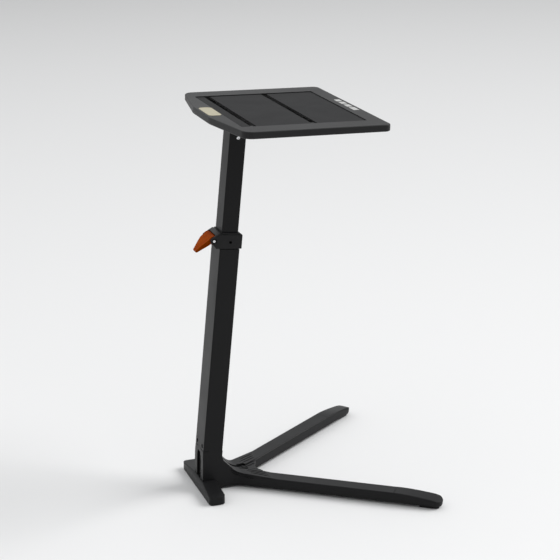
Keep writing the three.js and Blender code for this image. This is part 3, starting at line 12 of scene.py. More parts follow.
import bmesh
import bpy
from mathutils import Matrix, Vector


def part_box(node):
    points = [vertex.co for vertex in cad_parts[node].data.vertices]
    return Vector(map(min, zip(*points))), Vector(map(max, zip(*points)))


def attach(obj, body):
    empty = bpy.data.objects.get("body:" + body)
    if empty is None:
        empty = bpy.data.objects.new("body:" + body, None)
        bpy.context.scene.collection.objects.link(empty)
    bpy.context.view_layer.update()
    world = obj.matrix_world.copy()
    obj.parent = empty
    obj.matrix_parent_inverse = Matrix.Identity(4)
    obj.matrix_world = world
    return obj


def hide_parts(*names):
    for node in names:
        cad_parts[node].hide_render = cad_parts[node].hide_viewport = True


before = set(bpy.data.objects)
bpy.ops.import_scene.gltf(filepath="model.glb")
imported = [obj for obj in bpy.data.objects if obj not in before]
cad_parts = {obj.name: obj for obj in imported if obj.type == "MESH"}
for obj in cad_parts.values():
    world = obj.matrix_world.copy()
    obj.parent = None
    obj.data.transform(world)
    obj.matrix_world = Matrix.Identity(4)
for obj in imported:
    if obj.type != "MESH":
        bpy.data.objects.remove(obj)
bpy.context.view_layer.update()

# %% [markdown]
# ## Where things stand
# The post leans towards the rider and the tray slopes a little. Pieces of the post and of the
# tray are easiest to draw upright, in a frame of their own, and to lay in place when they are
# finished. The matrices below do that. Lengths are written in millimetres, as on a drawing.

# %% The post's frame and the tray's frame
MM = 0.001
LEAN = math.radians(5.44)
SLOPE = math.radians(1.3)
TRAY_SEAT = 985.6 * MM
BAR_AHEAD = 26.4  # from the post's axis, at the floor, to the front face of the foot bar
FOOT_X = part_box("foot_bar")[0].x + BAR_AHEAD * MM
FLOOR = Matrix.Identity(4)
FOOT = Matrix.Translation((FOOT_X, 0, 0))
POST = FOOT @ Matrix.Rotation(LEAN, 4, "Y")
TRAY = Matrix.Translation(POST @ Vector((0, 0, TRAY_SEAT))) @ Matrix.Rotation(SLOPE, 4, "Y")
SIDES = ((-1, "left"), (1, "right"))
print("post stands at x =", round(FOOT_X / MM, 1), "mm")
print("tray seat at", [round(c, 4) for c in TRAY.translation])

# %% [markdown]
# ## Small helpers for modelling
# Every operator acts on what is selected, so each helper first clears the selection. `choose`
# picks vertices, edges or faces by a test on their middle, the way one would click them.

# %% Selecting
def clear():
    """Leaves edit mode and selects nothing."""
    if bpy.context.object and bpy.context.object.mode != "OBJECT":
        bpy.ops.object.mode_set(mode="OBJECT")
    bpy.ops.object.select_all(action="DESELECT")


def hold(piece):
    """Makes one piece the only selected and active one, in object mode."""
    clear()
    piece.select_set(True)
    bpy.context.view_layer.objects.active = piece


def edit(piece):
    """Holds one piece and enters edit mode."""
    hold(piece)
    bpy.ops.object.mode_set(mode="EDIT")


def choose(kind, test):
    """In edit mode, selects the vertices, edges or faces that pass a test on them."""
    modes = {"verts": "VERT", "edges": "EDGE", "faces": "FACE"}
    bpy.ops.mesh.select_mode(type=modes[kind])
    bpy.ops.mesh.select_all(action="DESELECT")
    mesh = bmesh.from_edit_mesh(bpy.context.object.data)
    mesh.normal_update()
    for item in getattr(mesh, kind):
        corners = [item] if kind == "verts" else item.verts
        middle = sum((v.co for v in corners), Vector()) / len(corners)
        if test(item, middle):
            item.select_set(True)
    mesh.select_flush_mode()
    bmesh.update_edit_mesh(bpy.context.object.data)


def runs_along(edge, axis):
    """True if an edge runs along an axis: 0, 1 or 2 for X, Y or Z."""
    run = edge.verts[1].co - edge.verts[0].co
    return run.length > 0 and abs(run[axis]) > 0.999 * run.length


# %% [markdown]
# ## Two stock shapes
# A maker starts from a block or a bar of stock and works it. Both helpers give such stock between
# two drawing positions, with its place in the mesh, ready to be cut, rounded and drilled.

# %% Block and bar stock
def block(name, low, high):
    """A box between two corners, given in millimetres."""
    clear()
    low, high = Vector(low) * MM, Vector(high) * MM
    bpy.ops.mesh.primitive_cube_add(size=1, location=(low + high) / 2, scale=high - low)
    bpy.ops.object.transform_apply(location=True, rotation=True, scale=True)
    piece = bpy.context.object
    piece.name = name
    return piece


def bar_stock(name, radius, start, end, axis="Z", middle=(0, 0), steps=48):
    """A round bar along one axis, in millimetres; middle is its place across that axis."""
    clear()
    turn = {"X": (0, math.pi / 2, 0), "Y": (math.pi / 2, 0, 0), "Z": (0, 0, 0)}[axis]
    along = (start + end) / 2
    place = {
        "X": (along, *middle), "Y": (middle[0], along, middle[1]), "Z": (*middle, along),
    }[axis]
    bpy.ops.mesh.primitive_cylinder_add(
        vertices=steps, radius=radius * MM, depth=abs(end - start) * MM,
        location=Vector(place) * MM, rotation=turn,
    )
    bpy.ops.object.transform_apply(location=True, rotation=True, scale=True)
    piece = bpy.context.object
    piece.name = name
    return piece


# %% Modifiers that are applied at once
def apply_modifier(piece, kind, **settings):
    """Adds a modifier with its settings and applies it."""
    hold(piece)
    modifier = piece.modifiers.new(kind.lower(), kind)
    for name, value in settings.items():
        setattr(modifier, name, value)
    bpy.ops.object.modifier_apply(modifier=modifier.name)
    return piece


def cut_with(piece, tool, operation="DIFFERENCE", place=FLOOR):
    """Lays a tool in place, cuts a piece with it or joins the two, and removes the tool."""
    tool.data.transform(place)
    apply_modifier(piece, "BOOLEAN", operation=operation, solver="MANIFOLD", object=tool)
    bpy.data.objects.remove(tool)
    return piece


def soften(piece, width, segments=3, angle=32, leave=None):
    """Rounds every edge that is sharper than the angle, but for those to be left crisp."""
    sharp = math.radians(angle)
    edit(piece)
    choose("edges", lambda e, m: e.calc_face_angle(0) > sharp and not (leave and leave(m)))
    bpy.ops.transform.edge_bevelweight(value=1)
    bpy.ops.object.mode_set(mode="OBJECT")
    return apply_modifier(
        piece, "BEVEL", width=width * MM, segments=segments, limit_method="WEIGHT",
        miter_outer="MITER_ARC", use_clamp_overlap=True,
    )


def round_edges(piece, radius, test, segments=8):
    """Bevels the chosen edges in edit mode, for a corner with a real radius."""
    edit(piece)
    choose("edges", test)
    bpy.ops.mesh.bevel(offset=radius * MM, segments=segments, affect="EDGES")
    bpy.ops.object.mode_set(mode="OBJECT")


def rounded_block(name, low, high, corner, segments=8):
    """A box whose upright edges have a radius."""
    piece = block(name, low, high)
    round_edges(piece, corner, lambda e, m: runs_along(e, 2), segments)
    return piece


# %% [markdown]
# ## Putting a finished piece on the desk
# A finished piece keeps its place in its mesh, gets smooth shading up to an angle, its finish,
# and the body that it rides on: the base, the mast, the lever or the shoe. It then stands for
# the solids of the frame that it covers. Weighted normals keep the large flat faces flat.

# %% Finish, ride and replace
def finish_piece(piece, body, finish, place=FLOOR, covers=(), angle=40):
    """Lays a piece in place, shades it, gives it its finish and body, and hides what it covers."""
    piece.data.transform(place)
    piece.data.update()
    hold(piece)
    bpy.ops.object.shade_smooth_by_angle(angle=math.radians(angle))
    apply_modifier(piece, "WEIGHTED_NORMAL", keep_sharp=True, weight=80)
    piece.data.materials.clear()
    piece.data.materials.append(finish)
    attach(piece, body)
    if covers:
        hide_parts(*covers)
    size = [round(c / MM, 1) for c in piece.dimensions]
    print(f"{piece.name}: {size} mm, {len(piece.data.polygons)} faces, {finish.name}")
    return piece


# %% Copies of measured solids
MERGE_WITHIN, FLAT_WITHIN = 0.02 * MM, math.radians(0.6)


def copy_of(node, name):
    """A copy of a measured solid, with its loose triangles merged and its flat faces made whole."""
    piece = bpy.data.objects.new(name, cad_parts[node].data.copy())
    bpy.context.scene.collection.objects.link(piece)
    hold(piece)
    bpy.ops.mesh.customdata_custom_splitnormals_clear()
    edit(piece)
    bpy.ops.mesh.select_all(action="SELECT")
    bpy.ops.mesh.remove_doubles(threshold=MERGE_WITHIN)
    bpy.ops.mesh.dissolve_limited(angle_limit=FLAT_WITHIN)
    bpy.ops.object.mode_set(mode="OBJECT")
    return piece


# %% [markdown]
# ## Finishes: how they are written
# Colours are written as they are seen, in sRGB hex, and one function turns them to the linear
# values that the shader reads. One small function adds a node with its settings and links, and
# `wire` joins a finished pattern to the shader. Patterns read the object's own coordinates, so
# they stay on a piece when it moves, and their scale is one over a real size.
# A black thing in a bright room is seen mostly by what it reflects, so each black finish has its
# own specular level, matched to the real object.

# %% Colour and node helpers
def linear(code):
    """sRGB hex to linear RGBA."""
    parts = [int(code[i:i + 2], 16) / 255 for i in (1, 3, 5)]
    return (*[c / 12.92 if c <= 0.04045 else ((c + 0.055) / 1.055) ** 2.4 for c in parts], 1.0)


def add_node(material, kind, inputs=None, **settings):
    """Adds one node; an input that is a socket is linked, any other is a value."""
    made = material.node_tree.nodes.new(kind)
    for name, value in settings.items():
        setattr(made, name, value)
    for name, value in (inputs or {}).items():
        if isinstance(value, bpy.types.NodeSocket):
            material.node_tree.links.new(value, made.inputs[name])
        else:
            made.inputs[name].default_value = value
    return made


def new_finish(name, slot, **constants):
    """A material with one Principled shader; gives the material and the object's coordinates."""
    material = bpy.data.materials.new(name)
    material.use_nodes = True
    material["slot"] = slot
    shader = material.node_tree.nodes["Principled BSDF"]
    for socket, value in constants.items():
        shader.inputs[socket.replace("_", " ")].default_value = value
    return material, add_node(material, "ShaderNodeTexCoord").outputs["Object"]


def wire(material, colour, roughness, bump):
    """Joins a pattern's colour, roughness and bump to the material's shader."""
    shader = material.node_tree.nodes["Principled BSDF"]
    for output, socket in ((colour, "Base Color"), (roughness, "Roughness"), (bump, "Normal")):
        material.node_tree.links.new(output, shader.inputs[socket])
    print("finish:", material.name, "-", len(material.node_tree.nodes), "nodes")


def per(size_mm):
    """The texture scale that repeats a pattern once in this many millimetres."""
    return 1 / (size_mm * MM)


# %% What several finishes share
# Noise lies mostly between 0.3 and 0.7, so a Map Range that reads it starts from these ends.
NOISE_ENDS = {"From Min": 0.3, "From Max": 0.7}
BLACK, WORN_BLACK = linear("#161617"), linear("#202021")
print("black, linear:", [round(c, 4) for c in BLACK[:3]])

# %% [markdown]
# ## Powder coat
# The legs, foot bar and tubes are steel with a satin black powder coat. The powder melts to a
# film with a slight orange peel, about 3 mm from crest to crest, that breaks up a reflection.
# The film is a little duller in some places than in others, as handling leaves it.

# %% Powder coat on the formed steel
powder_coat, place = new_finish(
    "satin black powder coat on steel", "base_metal", Specular_IOR_Level=0.18,
)
peel = add_node(
    powder_coat, "ShaderNodeTexNoise", {"Vector": place, "Scale": per(3.2), "Detail": 2.0},
)
handling = add_node(
    powder_coat, "ShaderNodeTexNoise", {"Vector": place, "Scale": per(90), "Detail": 4.0},
)
coat_colour = add_node(
    powder_coat, "ShaderNodeMix", {0: handling.outputs["Fac"], 6: BLACK, 7: WORN_BLACK},
    data_type="RGBA",
)
coat_gloss = add_node(
    powder_coat, "ShaderNodeMapRange",
    {"Value": handling.outputs["Fac"], **NOISE_ENDS, "To Min": 0.36, "To Max": 0.46},
)
coat_bump = add_node(
    powder_coat, "ShaderNodeBump",
    {"Height": peel.outputs["Fac"], "Strength": 0.5, "Distance": 0.06 * MM},
)
wire(powder_coat, coat_colour.outputs[2], coat_gloss.outputs["Result"], coat_bump.outputs["Normal"])

# %% Powder coat on the drawn tubes
# Drawing leaves faint lines along a tube, which the coat doesn't quite hide. They are finer on
# the real tube than the 2.5 mm drawn here, so that they show in a picture of this size.
tube_coat, place = new_finish(
    "satin black powder coat on drawn tube", "tube_metal", Specular_IOR_Level=0.165,
)
along = add_node(
    tube_coat, "ShaderNodeMapping",
    {"Vector": place, "Rotation": (0, -LEAN, 0), "Scale": (1, 1, 0.012)},
)
lines = add_node(
    tube_coat, "ShaderNodeTexNoise",
    {"Vector": along.outputs[0], "Scale": per(2.5), "Detail": 2.0},
)
peel = add_node(
    tube_coat, "ShaderNodeTexNoise", {"Vector": place, "Scale": per(3.0), "Detail": 2.0},
)
handling = add_node(
    tube_coat, "ShaderNodeTexNoise", {"Vector": place, "Scale": per(110), "Detail": 4.0},
)
tube_colour = add_node(
    tube_coat, "ShaderNodeMix", {0: handling.outputs["Fac"], 6: BLACK, 7: WORN_BLACK},
    data_type="RGBA",
)
relief = add_node(
    tube_coat, "ShaderNodeMath", {0: lines.outputs["Fac"], 1: peel.outputs["Fac"]},
    operation="ADD",
)
tube_gloss = add_node(
    tube_coat, "ShaderNodeMapRange",
    {"Value": handling.outputs["Fac"], **NOISE_ENDS, "To Min": 0.34, "To Max": 0.43},
)
tube_bump = add_node(
    tube_coat, "ShaderNodeBump",
    {"Height": relief.outputs[0], "Strength": 0.4, "Distance": 0.05 * MM},
)
wire(tube_coat, tube_colour.outputs[2], tube_gloss.outputs["Result"], tube_bump.outputs["Normal"])

# %% [markdown]
# ## Moulded plastics
# The collar, liner, shoe and cover are black nylon from a spark-eroded mould, whose surface is a
# field of shallow pits. The tray is ABS with a leather-fine grain: cells of about 2 mm with soft
# valleys between them. Both are matt, and the grain makes their sheen wide and even.

# %% Black nylon
moulded_nylon, place = new_finish(
    "moulded black nylon", "moulded_black", Specular_IOR_Level=0.24,
)
pits = add_node(moulded_nylon, "ShaderNodeTexVoronoi", {"Vector": place, "Scale": per(1.8)})
flow = add_node(
    moulded_nylon, "ShaderNodeTexNoise", {"Vector": place, "Scale": per(45), "Detail": 3.0},
)
nylon_colour = add_node(
    moulded_nylon, "ShaderNodeMix", {0: flow.outputs["Fac"], 6: BLACK, 7: WORN_BLACK},
    data_type="RGBA",
)
nylon_gloss = add_node(
    moulded_nylon, "ShaderNodeMapRange",
    {"Value": flow.outputs["Fac"], **NOISE_ENDS, "To Min": 0.42, "To Max": 0.54},
)
nylon_bump = add_node(
    moulded_nylon, "ShaderNodeBump",
    {"Height": pits.outputs["Distance"], "Strength": 0.4, "Distance": 0.08 * MM},
)
wire(
    moulded_nylon, nylon_colour.outputs[2], nylon_gloss.outputs["Result"],
    nylon_bump.outputs["Normal"],
)

# %% Grained ABS of the tray
tray_abs, place = new_finish(
    "leather grained charcoal ABS", "tray_plastic", Specular_IOR_Level=0.27,
)
cells = add_node(
    tray_abs, "ShaderNodeTexVoronoi",
    {"Vector": place, "Scale": per(2.2), "Smoothness": 0.6}, feature="SMOOTH_F1",
)
speck = add_node(
    tray_abs, "ShaderNodeTexNoise", {"Vector": place, "Scale": per(1.1), "Detail": 1.0},
)
wear = add_node(
    tray_abs, "ShaderNodeTexNoise", {"Vector": place, "Scale": per(130), "Detail": 5.0},
)
valleys = add_node(
    tray_abs, "ShaderNodeMath", {0: cells.outputs["Distance"], 1: speck.outputs["Fac"]},
    operation="ADD",
)
shade = add_node(
    tray_abs, "ShaderNodeMath", {0: valleys.outputs[0], 1: wear.outputs["Fac"]},
    operation="MULTIPLY",
)
abs_colour = add_node(
    tray_abs, "ShaderNodeMix",
    {0: shade.outputs[0], 6: linear("#1a1a1b"), 7: linear("#272728")}, data_type="RGBA",
)
abs_gloss = add_node(
    tray_abs, "ShaderNodeMapRange",
    {"Value": wear.outputs["Fac"], **NOISE_ENDS, "To Min": 0.44, "To Max": 0.52},
)
abs_bump = add_node(
    tray_abs, "ShaderNodeBump",
    {"Height": valleys.outputs[0], "Strength": 0.5, "Distance": 0.1 * MM},
)
wire(tray_abs, abs_colour.outputs[2], abs_gloss.outputs["Result"], abs_bump.outputs["Normal"])

# %% [markdown]
# ## Rubber
# The mats are foamed rubber sheet: very matt, with open pores where the knife cut the bubbles.
# The pads under the desk are solid rubber, moulded, and darker. The grooves' linings are made of it
# too, as dark sheets that paint the shade inside the grooves.

# %% Foam mats
mat_rubber, place = new_finish("matt foam rubber sheet", "mat_rubber", Specular_IOR_Level=0.22)
pores = add_node(mat_rubber, "ShaderNodeTexVoronoi", {"Vector": place, "Scale": per(2.6)})
open_pores = add_node(
    mat_rubber, "ShaderNodeMapRange",
    {"Value": pores.outputs["Distance"], "From Min": 0.1, "From Max": 0.35,
     "To Min": 0.0, "To Max": 1.0},
)
dust = add_node(
    mat_rubber, "ShaderNodeTexNoise", {"Vector": place, "Scale": per(60), "Detail": 6.0},
)
mat_colour = add_node(
    mat_rubber, "ShaderNodeMix",
    {0: open_pores.outputs[0], 6: linear("#1b1b1c"), 7: linear("#282829")}, data_type="RGBA",
)
mat_gloss = add_node(
    mat_rubber, "ShaderNodeMapRange",
    {"Value": dust.outputs["Fac"], **NOISE_ENDS, "To Min": 0.76, "To Max": 0.82},
)
mat_bump = add_node(
    mat_rubber, "ShaderNodeBump",
    {"Height": open_pores.outputs[0], "Strength": 0.4, "Distance": 0.12 * MM},
)
wire(mat_rubber, mat_colour.outputs[2], mat_gloss.outputs["Result"], mat_bump.outputs["Normal"])

# %% Solid rubber
pad_rubber, place = new_finish("moulded black rubber", "pad_rubber", Specular_IOR_Level=0.3)
bloom = add_node(
    pad_rubber, "ShaderNodeTexNoise", {"Vector": place, "Scale": per(18), "Detail": 5.0},
)
skin = add_node(
    pad_rubber, "ShaderNodeTexNoise", {"Vector": place, "Scale": per(1.5), "Detail": 2.0},
)
pad_colour = add_node(
    pad_rubber, "ShaderNodeMix",
    {0: bloom.outputs["Fac"], 6: linear("#131314"), 7: linear("#222223")}, data_type="RGBA",
)
pad_gloss = add_node(
    pad_rubber, "ShaderNodeMapRange",
    {"Value": bloom.outputs["Fac"], **NOISE_ENDS, "To Min": 0.65, "To Max": 0.85},
)
pad_bump = add_node(
    pad_rubber, "ShaderNodeBump",
    {"Height": skin.outputs["Fac"], "Strength": 0.4, "Distance": 0.1 * MM},
)
wire(pad_rubber, pad_colour.outputs[2], pad_gloss.outputs["Result"], pad_bump.outputs["Normal"])

# %% [markdown]
# ## The orange lever
# The lever is glass-filled nylon in burnt orange. The fibres lie along the flow, from the pin to
# the tip, and show as faint paler streaks. The real one has hardly any shine, so its specular
# level is very low.

# %% Glass-filled orange nylon
FLOW_TILT = math.radians(-36)
orange_nylon, place = new_finish(
    "burnt orange glass filled nylon", "lever_plastic", Specular_IOR_Level=0.01,
)
flow_way = add_node(
    orange_nylon, "ShaderNodeMapping",
    {"Vector": place, "Rotation": (0, FLOW_TILT, 0), "Scale": (0.12, 1, 1)},
)
fibres = add_node(
    orange_nylon, "ShaderNodeTexNoise",
    {"Vector": flow_way.outputs[0], "Scale": per(1.6), "Detail": 3.0},
)
cloud = add_node(
    orange_nylon, "ShaderNodeTexNoise", {"Vector": place, "Scale": per(22), "Detail": 2.0},
)
streaks = add_node(
    orange_nylon, "ShaderNodeMath", {0: fibres.outputs["Fac"], 1: cloud.outputs["Fac"]},
    operation="MULTIPLY",
)
spread = add_node(
    orange_nylon, "ShaderNodeMapRange",
    {"Value": streaks.outputs[0], "From Min": 0.12, "From Max": 0.4,
     "To Min": 0.0, "To Max": 1.0},
)
orange_colour = add_node(
    orange_nylon, "ShaderNodeMix",
    {0: spread.outputs[0], 6: linear("#9a3900"), 7: linear("#be5604")}, data_type="RGBA",
)
orange_gloss = add_node(
    orange_nylon, "ShaderNodeMapRange",
    {"Value": fibres.outputs["Fac"], **NOISE_ENDS, "To Min": 0.36, "To Max": 0.5},
)
orange_bump = add_node(
    orange_nylon, "ShaderNodeBump",
    {"Height": fibres.outputs["Fac"], "Strength": 0.3, "Distance": 0.05 * MM},
)
wire(
    orange_nylon, orange_colour.outputs[2], orange_gloss.outputs["Result"],
    orange_bump.outputs["Normal"],
)

# %% [markdown]
# ## Metals
# The pin and the cross bolt are turned steel with bright zinc, and keep fine marks of the tool.
# The small screws are black oxide steel. The bare plate on the tray is brushed aluminium with a
# pale gold anodised film: its brush lines run along the plate.

# %% Bright zinc on turned steel
bright_steel, place = new_finish("bright zinc on turned steel", "pin_steel", Metallic=1.0)
mark_way = add_node(
    bright_steel, "ShaderNodeMapping", {"Vector": place, "Scale": (0.08, 1, 1)},
)
marks = add_node(
    bright_steel, "ShaderNodeTexNoise",
    {"Vector": mark_way.outputs[0], "Scale": per(0.9), "Detail": 2.0},
)
zinc = add_node(
    bright_steel, "ShaderNodeTexNoise", {"Vector": place, "Scale": per(6), "Detail": 3.0},
)
zinc_colour = add_node(
    bright_steel, "ShaderNodeMix",
    {0: zinc.outputs["Fac"], 6: linear("#c6c6ca"), 7: linear("#e2e2e2")}, data_type="RGBA",
)
zinc_gloss = add_node(
    bright_steel, "ShaderNodeMapRange",
    {"Value": marks.outputs["Fac"], **NOISE_ENDS, "To Min": 0.22, "To Max": 0.38},
)
zinc_bump = add_node(
    bright_steel, "ShaderNodeBump",
    {"Height": marks.outputs["Fac"], "Strength": 0.3, "Distance": 0.03 * MM},
)
wire(
    bright_steel, zinc_colour.outputs[2], zinc_gloss.outputs["Result"],
    zinc_bump.outputs["Normal"],
)

# %% Black oxide on small screws
# The oxide is a thin, dull, nearly black layer that varies a little in a cloud.
black_oxide, place = new_finish("black oxide steel", "fastener_steel", Specular_IOR_Level=0.06)
salt = add_node(
    black_oxide, "ShaderNodeTexNoise", {"Vector": place, "Scale": per(2.4), "Detail": 4.0},
)
oxide_colour = add_node(
    black_oxide, "ShaderNodeMix",
    {0: salt.outputs["Fac"], 6: linear("#0a0a0b"), 7: linear("#161515")}, data_type="RGBA",
)
oxide_gloss = add_node(
    black_oxide, "ShaderNodeMapRange",
    {"Value": salt.outputs["Fac"], **NOISE_ENDS, "To Min": 0.36, "To Max": 0.5},
)
oxide_bump = add_node(
    black_oxide, "ShaderNodeBump",
    {"Height": salt.outputs["Fac"], "Strength": 0.3, "Distance": 0.03 * MM},
)
wire(
    black_oxide, oxide_colour.outputs[2], oxide_gloss.outputs["Result"],
    oxide_bump.outputs["Normal"],
)

# %% Pale gold anodised plate
gold_plate, place = new_finish("pale gold brushed aluminium", "plate_metal", Metallic=1.0)
brush_way = add_node(
    gold_plate, "ShaderNodeMapping", {"Vector": place, "Scale": (1, 0.02, 1)},
)
brushing = add_node(
    gold_plate, "ShaderNodeTexNoise",
    {"Vector": brush_way.outputs[0], "Scale": per(1.0), "Detail": 3.0},
)
gold_colour = add_node(
    gold_plate, "ShaderNodeMix",
    {0: brushing.outputs["Fac"], 6: linear("#c6bd9e"), 7: linear("#dcd5bd")}, data_type="RGBA",
)
gold_gloss = add_node(
    gold_plate, "ShaderNodeMapRange",
    {"Value": brushing.outputs["Fac"], **NOISE_ENDS, "To Min": 0.3, "To Max": 0.48},
)
gold_bump = add_node(
    gold_plate, "ShaderNodeBump",
    {"Height": brushing.outputs["Fac"], "Strength": 0.3, "Distance": 0.03 * MM},
)
wire(gold_plate, gold_colour.outputs[2], gold_gloss.outputs["Result"], gold_bump.outputs["Normal"])

# %% White pad print
# Ink sinks a little into the grain below it, so the bars are not quite even.
white_print, place = new_finish("white pad print", "tray_plastic", Specular_IOR_Level=0.3)
ink = add_node(
    white_print, "ShaderNodeTexNoise", {"Vector": place, "Scale": per(2.2), "Detail": 3.0},
)
ink_colour = add_node(
    white_print, "ShaderNodeMix",
    {0: ink.outputs["Fac"], 6: linear("#b6b6b4"), 7: linear("#c8c8c6")}, data_type="RGBA",
)
ink_gloss = add_node(
    white_print, "ShaderNodeMapRange",
    {"Value": ink.outputs["Fac"], **NOISE_ENDS, "To Min": 0.5, "To Max": 0.65},
)
ink_bump = add_node(
    white_print, "ShaderNodeBump",
    {"Height": ink.outputs["Fac"], "Strength": 0.3, "Distance": 0.04 * MM},
)
wire(white_print, ink_colour.outputs[2], ink_gloss.outputs["Result"], ink_bump.outputs["Normal"])

# %% [markdown]
# ## Foot bar
# The bar across the front is a die casting: highest in the middle, falling to both ends, with a
# well-rounded upper front edge. It starts as a box, is cut into spans, and its ends are lowered.

# %% Foot bar
BAR_LENGTH, BAR_HEIGHT, BAR_END_HEIGHT, BAR_SEAT_HALF = 248, 30, 22, 37
BAR_BEHIND, BAR_UNDERSIDE = 16.1, 1.5
BAR_CORNER, BAR_BROW = 11, 7.5


def at_bar_end(spot):
    """True at an end face of the bar."""
    return abs(spot.y) > (BAR_LENGTH / 2 - 1) * MM


def is_bar_brow(edge, middle):
    """True for the upper front edges between the rounded corners."""
    between = abs(middle.y) < (BAR_LENGTH / 2 - BAR_CORNER - 1) * MM
    in_front = middle.x < (1 - BAR_AHEAD) * MM
    return between and in_front and middle.z > BAR_HEIGHT / 2 * MM and not runs_along(edge, 2)


bar = block(
    "front_foot_bar",
    (-BAR_AHEAD, -BAR_LENGTH / 2, BAR_UNDERSIDE), (BAR_BEHIND, BAR_LENGTH / 2, BAR_HEIGHT),
)
edit(bar)
for side in (-1, 1):
    bpy.ops.mesh.select_all(action="SELECT")
    bpy.ops.mesh.bisect(plane_co=(0, side * BAR_SEAT_HALF * MM, 0), plane_no=(0, 1, 0))
choose("verts", lambda v, m: at_bar_end(m) and m.z > BAR_HEIGHT / 2 * MM)
bpy.ops.transform.translate(value=(0, 0, (BAR_END_HEIGHT - BAR_HEIGHT) * MM))
bpy.ops.object.mode_set(mode="OBJECT")
round_edges(bar, BAR_CORNER, lambda e, m: runs_along(e, 2) and at_bar_end(m))
round_edges(bar, BAR_BROW, is_bar_brow, 6)
soften(bar, 2.2, 3, 30)
finish_piece(bar, "base", powder_coat, FOOT, ["foot_bar"])

# %% [markdown]
# ## Legs and hub
# The legs are formed plates that run on from the sides of the post. Their measured solids hold
# every curve, so a merged copy of each is used. The toes are drawn up a little to a fuller end,
# and the edges are rounded as pressing leaves them. The seam below the tube is welded flush and
# painted over, so its edges stay crisp and close.

# %% Creases
CREASE_RADIUS, CREASE_FADE = 2.2, 0.45


def crease(piece, path):
    """Presses a crease with faded ends along a path in the foot's frame, in millimetres."""
    clear()
    curve = bpy.data.curves.new("crease", "CURVE")
    curve.dimensions = "3D"
    curve.bevel_depth = CREASE_RADIUS * MM
    curve.bevel_resolution = 2
    curve.use_fill_caps = True
    spline = curve.splines.new("POLY")
    spline.points.add(len(path) - 1)
    for number, (point, spot) in enumerate(zip(spline.points, path)):
        point.co = (*(FOOT @ (Vector(spot) * MM)), 1)
        point.radius = CREASE_FADE if number in (0, len(path) - 1) else 1
    tool = bpy.data.objects.new("crease", curve)
    bpy.context.scene.collection.objects.link(tool)
    hold(tool)
    bpy.ops.object.convert(target="MESH")
    edit(tool)
    bpy.ops.mesh.select_all(action="SELECT")
    bpy.ops.mesh.remove_doubles(threshold=0.01 * MM)
    bpy.ops.mesh.normals_make_consistent(inside=False)
    bpy.ops.object.mode_set(mode="OBJECT")
    return cut_with(piece, tool)


# %% Where the creases run
# Three follow the ridge from the post to the leg's outer side. Three lie on top, along the leg:
# each has its offset from the leg's middle line and its start and end along the leg.
SPLAY = math.radians(35)
LEG_START, LEG_REACH, LEG_TOP, LEG_HALF = 60.6, 575, 34, 21.25
RIDGE = (
    (57, 36.0, 53), (60.1, 36.0, 50.2), (66.9, 36.2, 46.0), (74.7, 37.7, 41.7),
    (81.4, 40.5, 38.6), (88.8, 45.0, 36.6), (97.8, 51.0, 35.5), (106.9, 56.9, 34.8),
    (116, 62.9, 34.0),
)
RIDGE_CREASES = ((RIDGE, 0), (RIDGE[1:5], 6), (RIDGE[5:], 5))
TOP_CREASES = ((-1, 52, 112), (-10, 52, 104), (8, 66, 120))
CREASE_X, CREASE_HEIGHT, CREASE_FALL = 101, 39.9, 0.092


def crease_paths(side):
    """The creases of one leg; side is -1 for the left leg and 1 for the right one."""
    paths = [[(x, side * y, z - drop) for x, y, z in path] for path, drop in RIDGE_CREASES]
    for offset, start, end in TOP_CREASES:
        top = []
        for step in range(5):
            run = start + (end - start) * step / 4
            x = LEG_START + run * math.cos(SPLAY) - offset * math.sin(SPLAY)
            y = run * math.sin(SPLAY) + offset * math.cos(SPLAY)
            top.append((x, side * y, CREASE_HEIGHT - CREASE_FALL * (x - CREASE_X)))
        paths.append(top)
    return paths


# %% Slots beside the web
SLOT_HALF_LENGTH, SLOT_HALF_WIDTH, SLOT_CORNER = 13.5, 5.5, 5
SLOT_X, SLOT_Y, SLOT_TURN = 100.5, 10.5, 0.32
SLOT_LOW, SLOT_HIGH = 20, 60


def cut_slot(piece, side):
    """Cuts the slot where the web meets one leg right through a piece."""
    tool = rounded_block(
        "slot", (-SLOT_HALF_LENGTH, -SLOT_HALF_WIDTH, SLOT_LOW),
        (SLOT_HALF_LENGTH, SLOT_HALF_WIDTH, SLOT_HIGH), SLOT_CORNER,
    )
    spot = Matrix.Translation((SLOT_X * MM, side * SLOT_Y * MM, 0))
    cut_with(piece, tool, place=FOOT @ spot @ Matrix.Rotation(side * SLOT_TURN, 4, "Z"))


# %% Toes
# A toe is drawn up more at its end and on its inner side, and its last 24 mm fall to a nose. The
# room of the rubber pad under it, and all that is low, stays where it is.
TOE_RUN, TOE_DROP, TOE_CURVE = 130, 23, 1.35
TOE_CUTS = (10, 32, 54, 75, 95, 110, 116, 121, 125, 128)
TOE_LIFT, LIFT_CURVE, LIFT_FROM, TOE_ROLL = 11.7, 0.95, 7, 0.2
NOSE_RUN, NOSE_DROP = 24, 4
PAD_ROOM, PAD_ROOM_HEIGHT, PAD_ROOM_END = 14.5, 9.5, 7


